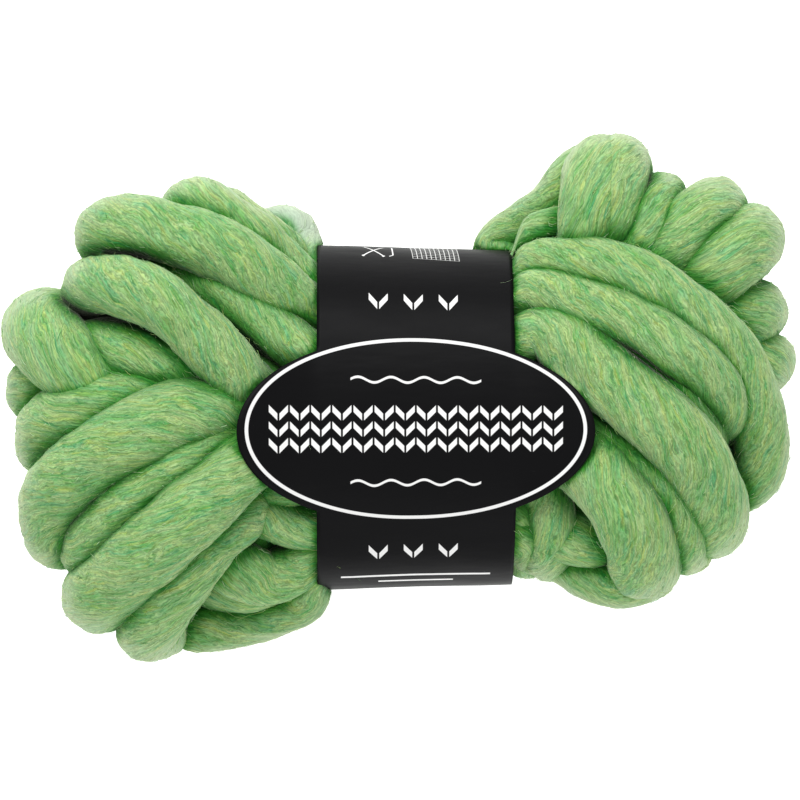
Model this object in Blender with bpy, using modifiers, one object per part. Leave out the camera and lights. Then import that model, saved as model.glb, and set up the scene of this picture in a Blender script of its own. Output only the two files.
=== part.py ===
"""A bow-tie skein of thick, soft roving held by a paper band with an oval front.

The skein lies on its back: +X runs along it from the left lobe to the right one, +Y is the upper
edge as it is seen from above, +Z is up, and the origin is under the middle of the whole skein.
The yarn is one solid, the union of its wound turns. The band is a second one, a ring of paper.
Sizes in the tables are millimetres, and the meshes are metres.
"""

import math
from collections import namedtuple

import bmesh
import bpy
from mathutils import Vector

MM = 0.001

# Driving dimensions, in millimetres.
BAND_MIDDLE = Vector((6.3, -7.0, 60.0))  # centre of the ring that the band forms
BAND_HALF_Y = 68.5  # half the ring's size along Y, to the outside of the paper
BAND_HALF_Z = 51.5  # half the ring's size along Z
BAND_WIDE = 79.0  # width of the paper strip along X
BAND_ROUND = 2.25  # 2 would make the ring an ellipse, more makes it squarer
BAND_TAPER = 0.016  # share by which the ring's Y size shrinks from its middle to its right edge
PAPER = 1.0  # thickness of the band
OVAL_HALF_X = 71.0  # the oval front, half its length along X
OVAL_HALF_Y = 38.2  # and half its height along the paper
OVAL_DROP = 5.5  # how far the oval sits below the middle of the front
WING_RISE = 10.0  # how far each tip of the oval is lifted by the yarn below it
CLEARANCE = 0.3  # gap between the yarn and the paper
CUT_REACH = 60.0  # how far outside the paper the yarn is trimmed away
WAIST_WIDE = 21.0  # width of a strand that is squeezed under the band
EASE = 30.0  # length over which a strand swells from the band to its full width
LAYER = 0.9  # depth of one layer of strands under the paper, in strand widths
TUCK = 0.06  # share of the way to the middle of the band that a strand's hidden ends move
WING_BEND = 1.4  # power by which the lift of the oval's wings grows toward the tips
SLAB = Vector((600.0, 600.0, 50.0))  # the slab that trims the flat underside

RING_ROWS = 56  # rows of faces round the ring
OVAL_ROWS = 15  # rows of them that cross the oval's wings
RING_STEPS = 720  # steps in which the ring's length is measured
RING_COLUMNS = 8  # faces across the paper
PATH_STEP = 6.0  # distance between the points of a strand
STRAND_SIDES = 3  # bevel resolution of a strand
VOXEL = 2.6  # grain of the union of all strands
YARN_FACES = 10100  # triangles left on the yarn
CREVICE = 40.0  # angle in degrees past which two faces meet in a sharp line between strands
PAPER_EDGE = 50.0  # the same for the paper's edges
WAIST_SIDES = 72  # sides of the drum of yarn inside the band
WAIST_SHORT = 8.0  # how far inside each edge of the band that drum ends
WAIST_GAP = 0.8  # how far inside the squeezed strands that drum stays

GREEN = (0.27, 0.5, 0.16, 1.0)
BLACK = (0.016, 0.016, 0.016, 1.0)

# A turn leaves the band at its front, runs over its front places to the tip of the lobe and
# comes back along its back places. enter and leave are (height across the band along Y,
# layers below the paper); a place is (x, y, z) of the middle of the strand.
Turn = namedtuple("Turn", "name wide enter front back leave")

LEFT_TURNS = (
    Turn("tuft", 17, (48, 0),
         ((-40.5, 64, 56), (-43.5, 70.5, 53)),
         ((-62, 64, 38), (-52, 44, 22)), (42, 0)),
    Turn("crown_back", 20, (44, 1),
         ((-50, 62, 68), (-62, 71, 70), (-72, 77, 62)),
         ((-78, 70, 40), (-68, 56, 22)), (38, 1)),
    Turn("crown", 23, (43, 0),
         ((-52, 58, 84), (-67, 71, 90), (-80, 78, 85)),
         ((-87, 74, 60), (-80, 60, 26), (-60, 44, 16)), (34, 0)),
    Turn("shoulder", 25, (36, 0),
         ((-52, 47, 98), (-68, 58, 104), (-86, 65, 104), (-104, 70, 97), (-118, 68, 80)),
         ((-114, 62, 50), (-96, 50, 18), (-64, 34, 12)), (26, 0)),
    Turn("tucked_upper", 22, (17, 0),
         ((-52, 28, 98), (-72, 43, 98), (-92, 54, 88)),
         ((-108, 56, 68), (-92, 40, 30), (-60, 30, 28)), (30, 1)),
    Turn("sash", 24, (-8, 0),
         ((-54, -2, 98), (-70, 16, 113), (-92, 37, 119), (-109, 45, 110), (-121, 46, 92)),
         ((-124, 39, 58), (-104, 30, 18), (-66, 20, 13)), (16, 0)),
    Turn("left_hook", 32, (0, 1),
         ((-84, -4, 84), (-114, 2, 93), (-131, 14, 97), (-143.5, 26, 80)),
         ((-140, 29, 46), (-110, 20, 15), (-70, 12, 14)), (8, 0)),
    Turn("lens", 25, (2, 1),
         ((-66, 8, 96), (-88, 14, 103), (-106, 19, 102), (-126, 20, 86)),
         ((-147.5, 3, 57), (-116, 3, 22), (-70, 4, 28)), (2, 1)),
    Turn("left_upper", 29, (-2, 1),
         ((-68, 1, 95), (-104, 1, 100), (-124, -4, 101), (-137, -9, 88), (-141.5, -18, 64)),
         ((-138, -11, 34), (-106, -6, 14), (-66, -4, 14)), (-3, 0)),
    Turn("left_middle", 29, (-4, 0),
         ((-62, -2, 100), (-88, -6, 112), (-108, -15, 115), (-127, -27, 105), (-138, -38.5, 88),
          (-139, -49, 74)),
         ((-136, -54, 52), (-112, -30, 20), (-68, -14, 13)), (-12, 0)),
    Turn("left_lower", 22, (-14, 0),
         ((-60, -10, 99), (-90, -25, 112), (-108, -40, 109), (-121, -53, 96), (-126, -61, 74)),
         ((-121, -55, 42), (-98, -36, 16), (-64, -22, 16)), (-20, 0)),
    Turn("long_lobe", 29, (-22, 0),
         ((-54, -18, 97), (-72, -34, 113), (-92, -53, 117), (-109, -68, 102), (-122, -79.5, 76)),
         ((-113, -73, 44), (-92, -52, 16), (-62, -32, 13)), (-29, 0)),
    Turn("lower_lobe", 27, (-30, 0),
         ((-56, -36, 88), (-73, -52, 98), (-85, -67, 102), (-95, -81, 92), (-101, -92.5, 68)),
         ((-93, -87, 38), (-78, -66, 15), (-58, -42, 14)), (-38, 0)),
    Turn("under_lobe", 20, (-50, 0),
         ((-44, -49, 88), (-60, -44, 90), (-78, -46, 84)),
         ((-92, -60, 60), (-84, -70, 36), (-60, -56, 28)), (-44, 1)),
    Turn("left_bow", 25, (-58, 0),
         ((-42, -66, 76), (-54, -71, 78), (-66, -67, 84), (-76, -58, 80)),
         ((-94, -72, 62), (-86, -84, 42), (-62, -66, 24)), (-50, 0)),
    Turn("left_side", 24, (-60, 0),
         ((-46, -68, 66), (-60, -74, 66), (-76, -72, 60)),
         ((-84, -62, 44), (-62, -60, 34)), (-56, 1)),
    Turn("left_hem", 21, (-60, 0),
         ((-40, -80, 60), (-51, -86, 56), (-67, -90.5, 52), (-84, -92, 50)),
         ((-82, -86, 30), (-64, -70, 16), (-52, -60, 18)), (-56, 0)),
)

RIGHT_TURNS = (
    Turn("dark_arm", 20, (50, 0),
         ((39, 61, 46), (50.5, 70.5, 50), (62.5, 80, 58), (73.5, 93, 62)),
         ((82, 88, 44), (76, 68, 20), (60, 50, 20)), (44, 0)),
    Turn("small_arc", 14, (46, 0),
         ((46, 59, 70), (52, 67, 75), (63, 71, 76)),
         ((72, 70, 66), (66, 60, 50)), (40, 1)),
    Turn("wrap", 28, (38, 1),
         ((66, 44, 66), (75.5, 58, 83), (77, 75, 92), (79.5, 91, 82)),
         ((86, 88, 50), (80, 66, 18), (60, 44, 16)), (34, 0)),
    Turn("wrap_side", 26, (36, 1),
         ((71, 44, 66), (82, 58, 82), (85, 76, 91.5), (87, 92.5, 81)),
         ((90, 92, 54), (84, 66, 30), (62, 44, 26)), (32, 1)),
    Turn("fan_1", 22, (30, 1),
         ((70, 38, 82), (96, 60, 92), (102, 74, 88), (105, 80, 74)),
         ((104, 78, 48), (92, 58, 30), (64, 40, 28)), (30, 1)),
    Turn("fan_2", 25, (24, 1),
         ((80, 34, 84), (108, 59, 92), (118, 72, 90), (127, 78, 74)),
         ((123, 72, 44), (102, 52, 16), (66, 34, 13)), (24, 0)),
    Turn("fan_3", 30, (18, 1),
         ((84, 28, 84), (118, 44, 88), (130, 56, 90), (140, 64, 74)),
         ((136, 60, 44), (112, 40, 17), (70, 24, 15)), (15, 0)),
    Turn("fan_4", 27, (12, 1),
         ((90, 20, 84), (122, 32, 84), (137, 35, 80), (143, 36, 64)),
         ((138, 33, 40), (112, 22, 26), (72, 16, 28)), (12, 1)),
    Turn("fan_5", 26, (4, 1),
         ((96, 10, 82), (126, 17, 78), (141, 17, 70), (147, 16, 57)),
         ((140, 12, 34), (112, 10, 13), (70, 8, 14)), (6, 0)),
    Turn("outer_arc", 23, (47, 0),
         ((57, 54, 86), (74, 54, 99), (92, 50, 107), (111, 38, 109), (128, 24, 104), (139, 7, 95),
          (145, -11, 83), (143, -30, 68)),
         ((131, -33, 40), (106, -16, 26), (70, -4, 28)), (-2, 1)),
    Turn("middle_arc", 22, (38, 0),
         ((56, 43, 95), (75, 38, 108), (95, 30, 115), (112, 19, 115), (125, 7, 106), (131, -3, 92),
          (131, -9, 72)),
         ((126, -14, 46), (104, -10, 16), (68, -4, 13)), (-4, 0)),
    Turn("tucked_arc", 20, (22, 1),
         ((80, 21, 101), (98, 12, 109), (110, 1, 108), (118, -8, 100), (122, -15, 84)),
         ((121, -22, 60), (108, -22, 32), (72, -14, 28)), (-12, 1)),
    Turn("broad_lobe", 29, (22, 0),
         ((59, 27, 102), (78, 13, 112), (98, -4, 117), (115, -21, 112), (124, -38, 96), (125, -49, 74)),
         ((122, -48, 44), (100, -32, 16), (66, -16, 13)), (-13, 0)),
    Turn("slim_lobe", 21, (4, 0),
         ((68, -6, 98), (88, -18, 103), (102, -30, 104), (111, -44, 97), (115, -57, 77)),
         ((114, -59, 48), (92, -44, 26), (64, -28, 26)), (-22, 1)),
    Turn("fold_lobe", 30, (-8, 0),
         ((58, -10, 94), (74, -24, 102), (88, -41, 109), (95.5, -55, 100), (98, -66, 80)),
         ((92, -61, 50), (76, -44, 24), (58, -36, 22)), (-34, 0)),
    Turn("fold_hook", 21, (-52, 0),
         ((54, -60, 62), (66, -64, 66), (78, -71, 70), (90, -74, 74), (100, -68, 80)),
         ((99, -54, 66), (84, -46, 50)), (-44, 1)),
    Turn("right_post", 24, (-26, 0),
         ((56, -36, 90), (61, -50, 86), (60, -62, 68)),
         ((62, -60, 42), (64, -46, 22), (58, -36, 16)), (-30, 0)),
    Turn("post_strip", 16, (-46, 0),
         ((49, -54, 74), (50, -64, 58)),
         ((54, -62, 38), (54, -54, 26)), (-48, 0)),
    Turn("right_side", 24, (-46, 1),
         ((56, -51, 78), (72, -55, 82), (85, -54, 74)),
         ((84, -54, 48), (66, -50, 34)), (-44, 1)),
    Turn("right_back", 24, (46, 1),
         ((54, 54, 60), (70, 64, 50)),
         ((74, 62, 34), (60, 50, 28)), (42, 1)),
    Turn("under_tip", 24, (-2, 1),
         ((80, 0, 60), (120, -8, 66)),
         ((138, -12, 44), (116, -14, 15), (74, -8, 14)), (-8, 1)),
    Turn("under_right", 26, (10, 1),
         ((70, -20, 60), (104, -40, 56)),
         ((112, -44, 40), (84, -50, 15)), (-34, 0)),
)

# The yarn inside each lobe, which the turns wrap: its middle and its half sizes.
Filling = namedtuple("Filling", "x y z half_x half_y half_z")
FILLINGS = (
    Filling(-82, -4, 60, 48, 58, 40),
    Filling(-72, 34, 62, 30, 30, 32),
    Filling(-70, -48, 60, 28, 30, 32),
    Filling(90, 6, 60, 46, 52, 38),
    Filling(84, 50, 60, 26, 28, 30),
    Filling(78, -36, 58, 24, 28, 32),
    Filling(6, -7, 60, 60, 58, 42),
)


def material(name, colour, roughness):
    """A plain Principled finish."""
    finish = bpy.data.materials.new(name)
    finish.use_nodes = True
    shader = finish.node_tree.nodes["Principled BSDF"]
    shader.inputs["Base Color"].default_value = colour
    shader.inputs["Roughness"].default_value = roughness
    shader.inputs["Metallic"].default_value = 0.0
    return finish


def new_collection(name):
    group = bpy.data.collections.new(name)
    bpy.context.scene.collection.children.link(group)
    return group


def add_object(name, mesh, group, finish=None):
    """An object for a mesh or a curve, in its collection."""
    thing = bpy.data.objects.new(name, mesh)
    group.objects.link(thing)
    if finish:
        mesh.materials.append(finish)
    return thing


def apply_modifiers(thing):
    """Give an object the mesh that its modifiers make, and drop them."""
    bpy.context.view_layer.update()
    graph = bpy.context.evaluated_depsgraph_get()
    made = bpy.data.meshes.new_from_object(thing.evaluated_get(graph))
    thing.modifiers.clear()
    old = thing.data
    thing.data = made
    bpy.data.meshes.remove(old)


def ring_point(angle, inset=0.0):
    """A point (y, z) of the band's section, an angle round from +Y, inset from the paper's outside."""
    reach = 2.0 / BAND_ROUND
    across, up = math.cos(angle), math.sin(angle)
    y = (BAND_HALF_Y - inset) * math.copysign(abs(across) ** reach, across)
    z = (BAND_HALF_Z - inset) * math.copysign(abs(up) ** reach, up)
    return BAND_MIDDLE.y + y, BAND_MIDDLE.z + z


def tapered(y, x):
    """The place along Y of a ring point at x, where the ring is a little narrower to the right."""
    return BAND_MIDDLE.y + (y - BAND_MIDDLE.y) * (1.0 - BAND_TAPER * (x - BAND_MIDDLE.x) / (BAND_WIDE / 2))


def under_paper(y, layer, face):
    """The height of a strand under the band: face is 1 at the front and -1 at the back."""
    inset = PAPER + CLEARANCE + WAIST_WIDE / 2 + layer * WAIST_WIDE * LAYER
    share = min(1.0, abs((y - BAND_MIDDLE.y) / (BAND_HALF_Y - inset)))
    rise = (1.0 - share**BAND_ROUND) ** (1.0 / BAND_ROUND)
    return BAND_MIDDLE.z + face * (BAND_HALF_Z - inset) * rise


def smooth_path(places, step):
    """Points every step along a centripetal Catmull-Rom curve through the places."""
    ends = [2 * places[0] - places[1], *places, 2 * places[-1] - places[-2]]
    dense = []
    for a, b, c, d in zip(ends, ends[1:], ends[2:], ends[3:]):
        t1 = (b - a).length ** 0.5
        t2 = t1 + (c - b).length ** 0.5
        t3 = t2 + (d - c).length ** 0.5
        count = 12
        for i in range(count):
            t = t1 + (t2 - t1) * i / count
            ab = a.lerp(b, t / t1)
            bc = b.lerp(c, (t - t1) / (t2 - t1))
            cd = c.lerp(d, (t - t2) / (t3 - t2))
            abc = ab.lerp(bc, t / t2)
            bcd = bc.lerp(cd, (t - t1) / (t3 - t1))
            dense.append(abc.lerp(bcd, (t - t1) / (t2 - t1)))
    dense.append(places[-1])
    path = [dense[0]]
    walked = 0.0
    for a, b in zip(dense, dense[1:]):
        walked += (b - a).length
        if walked >= step:
            path.append(b)
            walked = 0.0
    return path


def turn_places(turn, side):
    """Every place of a turn: out of the band, over the lobe and back under the band."""
    edge = BAND_MIDDLE.x + side * BAND_WIDE / 2
    inside = BAND_MIDDLE.x + side * BAND_WIDE / 8
    start = Vector((edge, turn.enter[0], under_paper(*turn.enter, 1)))
    end = Vector((edge, turn.leave[0], under_paper(*turn.leave, -1)))
    first = start.lerp(BAND_MIDDLE, TUCK)
    last = end.lerp(BAND_MIDDLE, TUCK)
    first.x = inside
    last.x = inside
    middle = [Vector(place) for place in turn.front + turn.back]
    return [first, start, *middle, end, last]


def strand_radius(turn, side, x):
    """Half the width of a strand: squeezed under the band, full from EASE beyond it."""
    edge = BAND_MIDDLE.x + side * BAND_WIDE / 2
    share = min(1.0, max(0.0, side * (x - edge) / EASE))
    ease = share * share * (3 - 2 * share)
    narrow = min(WAIST_WIDE, turn.wide)
    return (narrow + (turn.wide - narrow) * ease) / 2


def make_strand(turn, side, group):
    """A tube along one turn, as a curve with a bevel."""
    path = smooth_path(turn_places(turn, side), PATH_STEP)
    curve = bpy.data.curves.new(turn.name, "CURVE")
    curve.dimensions = "3D"
    curve.bevel_depth = MM
    curve.bevel_resolution = STRAND_SIDES
    curve.use_fill_caps = True
    spline = curve.splines.new("POLY")
    spline.points.add(len(path) - 1)
    for point, place in zip(spline.points, path):
        point.co = (*(place * MM), 1.0)
        point.radius = strand_radius(turn, side, place.x)
    return add_object(turn.name, curve, group)


def make_filling(row, group):
    """The yarn inside a lobe, as an egg that the turns hide."""
    mesh = bpy.data.meshes.new("filling")
    shape = bmesh.new()
    bmesh.ops.create_uvsphere(shape, u_segments=24, v_segments=16, radius=MM)
    for vert in shape.verts:
        vert.co.x = vert.co.x * row.half_x + row.x * MM
        vert.co.y = vert.co.y * row.half_y + row.y * MM
        vert.co.z = vert.co.z * row.half_z + row.z * MM
    shape.to_mesh(mesh)
    shape.free()
    return add_object("filling", mesh, group)


def make_waist(group):
    """The squeezed yarn that fills the band, as a short drum of the band's own section."""
    mesh = bpy.data.meshes.new("waist")
    shape = bmesh.new()
    length = BAND_WIDE - 2 * WAIST_SHORT
    bmesh.ops.create_cone(shape, cap_ends=True, segments=WAIST_SIDES, radius1=1, radius2=1, depth=length)
    for vert in shape.verts:
        y, z = ring_point(math.atan2(vert.co.y, vert.co.x), PAPER + CLEARANCE + WAIST_GAP)
        x = BAND_MIDDLE.x + vert.co.z
        vert.co = Vector((x, tapered(y, x), z)) * MM
    shape.to_mesh(mesh)
    shape.free()
    return add_object("waist", mesh, group)


def join_closed(pieces, name, group, finish):
    """One mesh of many closed shapes that may run through each other."""
    bpy.context.view_layer.update()
    graph = bpy.context.evaluated_depsgraph_get()
    joined = bmesh.new()
    for piece in pieces:
        part = bpy.data.meshes.new_from_object(piece.evaluated_get(graph))
        joined.from_mesh(part)
        bpy.data.meshes.remove(part)
        bpy.data.objects.remove(piece)
    bmesh.ops.remove_doubles(joined, verts=joined.verts, dist=1e-6)
    mesh = bpy.data.meshes.new(name)
    joined.to_mesh(mesh)
    joined.free()
    return add_object(name, mesh, group, finish)


def keep_largest_body(mesh):
    """Drop every loose shell but the largest, such as the walls of pockets inside the winding."""
    shape = bmesh.new()
    shape.from_mesh(mesh)
    unseen = set(shape.verts)
    bodies = []
    while unseen:
        stack = [unseen.pop()]
        body = [stack[0]]
        while stack:
            for edge in stack.pop().link_edges:
                for vert in edge.verts:
                    if vert in unseen:
                        unseen.discard(vert)
                        body.append(vert)
                        stack.append(vert)
        bodies.append(body)
    bodies.sort(key=len)
    loose = [vert for body in bodies[:-1] for vert in body]
    bmesh.ops.delete(shape, geom=loose, context="VERTS")
    bmesh.ops.triangulate(shape, faces=shape.faces)
    shape.to_mesh(mesh)
    shape.free()


def oval_half_width(along):
    """Half the oval's length at a distance along the paper from its middle."""
    share = along / OVAL_HALF_Y
    return OVAL_HALF_X * math.sqrt(max(0.0, 1.0 - share * share))


def paper_rows():
    """Points round the ring as (distance along the paper from the oval's middle, y, z)."""
    angles = [math.pi / 2 + 2 * math.pi * i / RING_STEPS for i in range(RING_STEPS + 1)]
    points = [Vector((0.0, *ring_point(angle))) for angle in angles]
    lengths = [0.0]
    for a, b in zip(points, points[1:]):
        lengths.append(lengths[-1] + (b - a).length)
    around = lengths[-1]
    corner = OVAL_HALF_Y * math.sqrt(1.0 - (BAND_WIDE / 2 / OVAL_HALF_X) ** 2)
    stops = [-corner + 2 * corner * i / (OVAL_ROWS - 1) for i in range(OVAL_ROWS)]
    rest = RING_ROWS - OVAL_ROWS
    gap = (around - 2 * corner) / (rest + 1)
    stops += [corner + gap * (i + 1) for i in range(rest)]
    rows = []
    for stop in stops:
        walk = (stop + OVAL_DROP) % around
        index = min(range(RING_STEPS), key=lambda i: abs(lengths[i] - walk))
        rows.append((stop, points[index].y, points[index].z))
    return rows


def wing_lift(x):
    """How far the yarn lifts the oval's wings off the ring, beyond the strip's two edges."""
    past = max(0.0, abs(x - BAND_MIDDLE.x) - BAND_WIDE / 2)
    reach = OVAL_HALF_X - BAND_WIDE / 2
    return WING_RISE * (past / reach) ** WING_BEND


def make_paper(name, group, finish, widen, inward, outward):
    """The ring of paper with its oval, as an open grid of faces with a Solidify modifier."""
    rows = paper_rows()
    shape = bmesh.new()
    grid = []
    for along, y, z in rows:
        half = max(BAND_WIDE / 2, oval_half_width(along)) + widen
        line = []
        for column in range(RING_COLUMNS + 1):
            x = BAND_MIDDLE.x + half * (2 * column / RING_COLUMNS - 1)
            line.append(shape.verts.new(Vector((x, tapered(y, x), z + wing_lift(x))) * MM))
        grid.append(line)
    for line, following in zip(grid, grid[1:] + grid[:1]):
        for a, b, c, d in zip(line, line[1:], following[1:], following):
            shape.faces.new((a, b, c, d))
    bmesh.ops.recalc_face_normals(shape, faces=shape.faces)
    top = max(shape.faces, key=lambda face: face.calc_center_median().z)
    top.normal_update()
    if top.normal.z < 0:
        bmesh.ops.reverse_faces(shape, faces=shape.faces)
    mesh = bpy.data.meshes.new(name)
    shape.to_mesh(mesh)
    shape.free()
    sheet = add_object(name, mesh, group, finish)
    solid = sheet.modifiers.new("thickness", "SOLIDIFY")
    solid.thickness = (outward + inward) * MM
    solid.offset = (outward - inward) / (outward + inward)
    return sheet


def cut(thing, cutter):
    """Take a cutter out of an object."""
    boolean = thing.modifiers.new("cut", "BOOLEAN")
    boolean.operation = "DIFFERENCE"
    boolean.object = cutter
    apply_modifiers(thing)


def mark_as_cutter(thing):
    thing.hide_render = True
    thing.display_type = "WIRE"


def make_floor_cutter(group):
    """A slab under the skein, whose top leaves the flat underside."""
    mesh = bpy.data.meshes.new("floor_cutter")
    shape = bmesh.new()
    bmesh.ops.create_cube(shape, size=1.0)
    for vert in shape.verts:
        vert.co = Vector((vert.co.x * SLAB.x, vert.co.y * SLAB.y, (vert.co.z - 0.5) * SLAB.z)) * MM
    shape.to_mesh(mesh)
    shape.free()
    slab = add_object("floor_cutter", mesh, group)
    mark_as_cutter(slab)
    return slab


def make_yarn(parts, cutters):
    """The whole winding as one solid, squeezed by the band and flat where it rests."""
    pieces = [make_strand(turn, -1, parts) for turn in LEFT_TURNS]
    pieces += [make_strand(turn, 1, parts) for turn in RIGHT_TURNS]
    pieces += [make_filling(row, parts) for row in FILLINGS]
    pieces.append(make_waist(parts))
    yarn = join_closed(pieces, "yarn", parts, material("green_roving", GREEN, 0.95))
    remesh = yarn.modifiers.new("union", "REMESH")
    remesh.mode = "VOXEL"
    remesh.voxel_size = VOXEL * MM
    apply_modifiers(yarn)
    keep_largest_body(yarn.data)
    thin = yarn.modifiers.new("thin", "DECIMATE")
    thin.ratio = YARN_FACES / len(yarn.data.polygons)
    apply_modifiers(yarn)
    squeeze = make_paper("band_cutter", cutters, None, CLEARANCE, PAPER + CLEARANCE, CUT_REACH)
    mark_as_cutter(squeeze)
    cut(yarn, squeeze)
    cut(yarn, make_floor_cutter(cutters))
    keep_largest_body(yarn.data)
    yarn.data.shade_smooth()
    yarn.data.set_sharp_from_angle(angle=math.radians(CREVICE))
    return yarn


def main():
    for thing in list(bpy.data.objects):
        bpy.data.objects.remove(thing)
    parts = new_collection("yarn_skein")
    cutters = new_collection("cutters")
    make_yarn(parts, cutters)
    band = make_paper("band", parts, material("black_paper", BLACK, 0.45), 0.0, PAPER, 0.0)
    band.data.shade_smooth()
    band.data.set_sharp_from_angle(angle=math.radians(PAPER_EDGE))


main()
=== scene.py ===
# %% [markdown]
# # A bow-tie skein of thick roving in a paper band
#
# The skein is one long strand of soft roving, about 25 mm thick. A machine lays it in fat loops,
# squeezes the middle and glues a printed paper band around it, so that a lobe of loops swells out
# on each side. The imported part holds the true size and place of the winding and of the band.
# This lesson dresses it: first the strands, then the loose fibres on them, then the printed paper.

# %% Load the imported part
import math
from collections import namedtuple

import bpy
import numpy as np
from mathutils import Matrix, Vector


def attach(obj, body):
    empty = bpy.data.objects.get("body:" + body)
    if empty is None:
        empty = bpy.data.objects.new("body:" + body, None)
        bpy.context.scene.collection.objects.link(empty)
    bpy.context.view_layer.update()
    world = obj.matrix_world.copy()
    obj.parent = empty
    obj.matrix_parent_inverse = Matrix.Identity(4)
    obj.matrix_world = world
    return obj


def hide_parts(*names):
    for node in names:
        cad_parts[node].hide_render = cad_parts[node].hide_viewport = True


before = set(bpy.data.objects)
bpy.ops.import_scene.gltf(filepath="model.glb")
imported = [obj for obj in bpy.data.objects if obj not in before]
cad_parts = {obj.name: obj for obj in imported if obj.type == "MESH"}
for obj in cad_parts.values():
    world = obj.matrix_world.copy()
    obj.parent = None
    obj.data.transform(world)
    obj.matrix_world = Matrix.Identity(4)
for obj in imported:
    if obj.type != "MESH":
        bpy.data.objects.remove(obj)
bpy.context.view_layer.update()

MM = 0.001

# %% [markdown]
# ## Camera, light and floor
#
# The skein was photographed from straight above, as it lies on its back. From far away with a
# long lens it shows almost no perspective. The light is that of a packshot: a white room, a sheet
# that is lit from below, and a large soft lamp above the upper edge with a weaker one opposite, so
# that the lower side of each strand is in soft shade and no strand throws a hard shadow.

# %% Camera
CAMERA_HEIGHT = 3.0  # metres above the floor
FACE_HEIGHT = 0.095  # height of the strands that the picture is framed on
PICTURE_WIDTH = 0.320  # what the picture spans there


def add_object(name, data):
    """An object at the origin, linked to the scene, around a mesh, a curve, a lamp or a camera."""
    made = bpy.data.objects.new(name, data)
    bpy.context.scene.collection.objects.link(made)
    return made


camera_data = bpy.data.cameras.new("overhead")
camera_data.lens = camera_data.sensor_width * (CAMERA_HEIGHT - FACE_HEIGHT) / PICTURE_WIDTH
camera_data.clip_end = 10.0
camera = add_object("overhead", camera_data)
camera.location = (0.0, 0.0, CAMERA_HEIGHT)
bpy.context.scene.camera = camera
bpy.context.scene.view_settings.view_transform = "Standard"
print("lens, mm:", round(camera_data.lens, 1))


# %% Lamps and world
LAMP_TARGET = Vector((0.0, 0.0, 0.06))  # the middle of the skein
ROOM_LIGHT = 0.60  # strength of the white room


def soft_lamp(name, place, size, power):
    """A square area lamp that faces the skein."""
    data = bpy.data.lights.new(name, "AREA")
    data.size = size
    data.energy = power
    lamp = add_object(name, data)
    lamp.location = place
    lamp.rotation_euler = (LAMP_TARGET - Vector(place)).to_track_quat("-Z", "Y").to_euler()


soft_lamp("key", (-0.25, 1.0, 1.2), 0.8, 18.0)
soft_lamp("fill", (0.3, -1.2, 1.0), 1.2, 6.0)
world = bpy.data.worlds.new("white room")
world.use_nodes = True
background = world.node_tree.nodes["Background"]
background.inputs["Color"].default_value = (1.0, 1.0, 1.0, 1.0)
background.inputs["Strength"].default_value = ROOM_LIGHT
bpy.context.scene.world = world

# %% [markdown]
# ## Node trees written as sums
#
# Materials and Geometry Nodes both consist of nodes and links, and long trees are hard to read as
# a list of links. The small class below wraps an output socket, so that `a * 2 + b` adds the Math
# nodes by itself. Every other node comes from `Graph.node`: its type, then its settings, then its
# inputs. The same two classes serve both kinds of tree. An operator also has a reflected form, so
# that `1 - mask` works, where the number comes first.


# %% Sockets with arithmetic
def arithmetic(operation, reflected=False):
    """A method for one operator, with its two ends exchanged in the reflected form."""
    def method(self, other):
        return self.join(operation, *((other, self) if reflected else (self, other)))
    return method


class Wire:
    """An output socket. Arithmetic on it adds Math nodes, or Vector Math nodes for vectors."""

    def __init__(self, graph, socket):
        self.graph = graph
        self.socket = socket

    def join(self, operation, first, second):
        for end in (first, second):
            if isinstance(end, tuple) or (isinstance(end, Wire) and end.socket.type in ("VECTOR", "RGBA")):
                return self.graph.vector(operation, first, second)
        return self.graph.math(operation, first, second)

    __add__, __radd__ = arithmetic("ADD"), arithmetic("ADD", True)
    __sub__, __rsub__ = arithmetic("SUBTRACT"), arithmetic("SUBTRACT", True)
    __mul__, __rmul__ = arithmetic("MULTIPLY"), arithmetic("MULTIPLY", True)
    __truediv__, __rtruediv__ = arithmetic("DIVIDE"), arithmetic("DIVIDE", True)
    __gt__, __lt__ = arithmetic("GREATER_THAN"), arithmetic("LESS_THAN")


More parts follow.
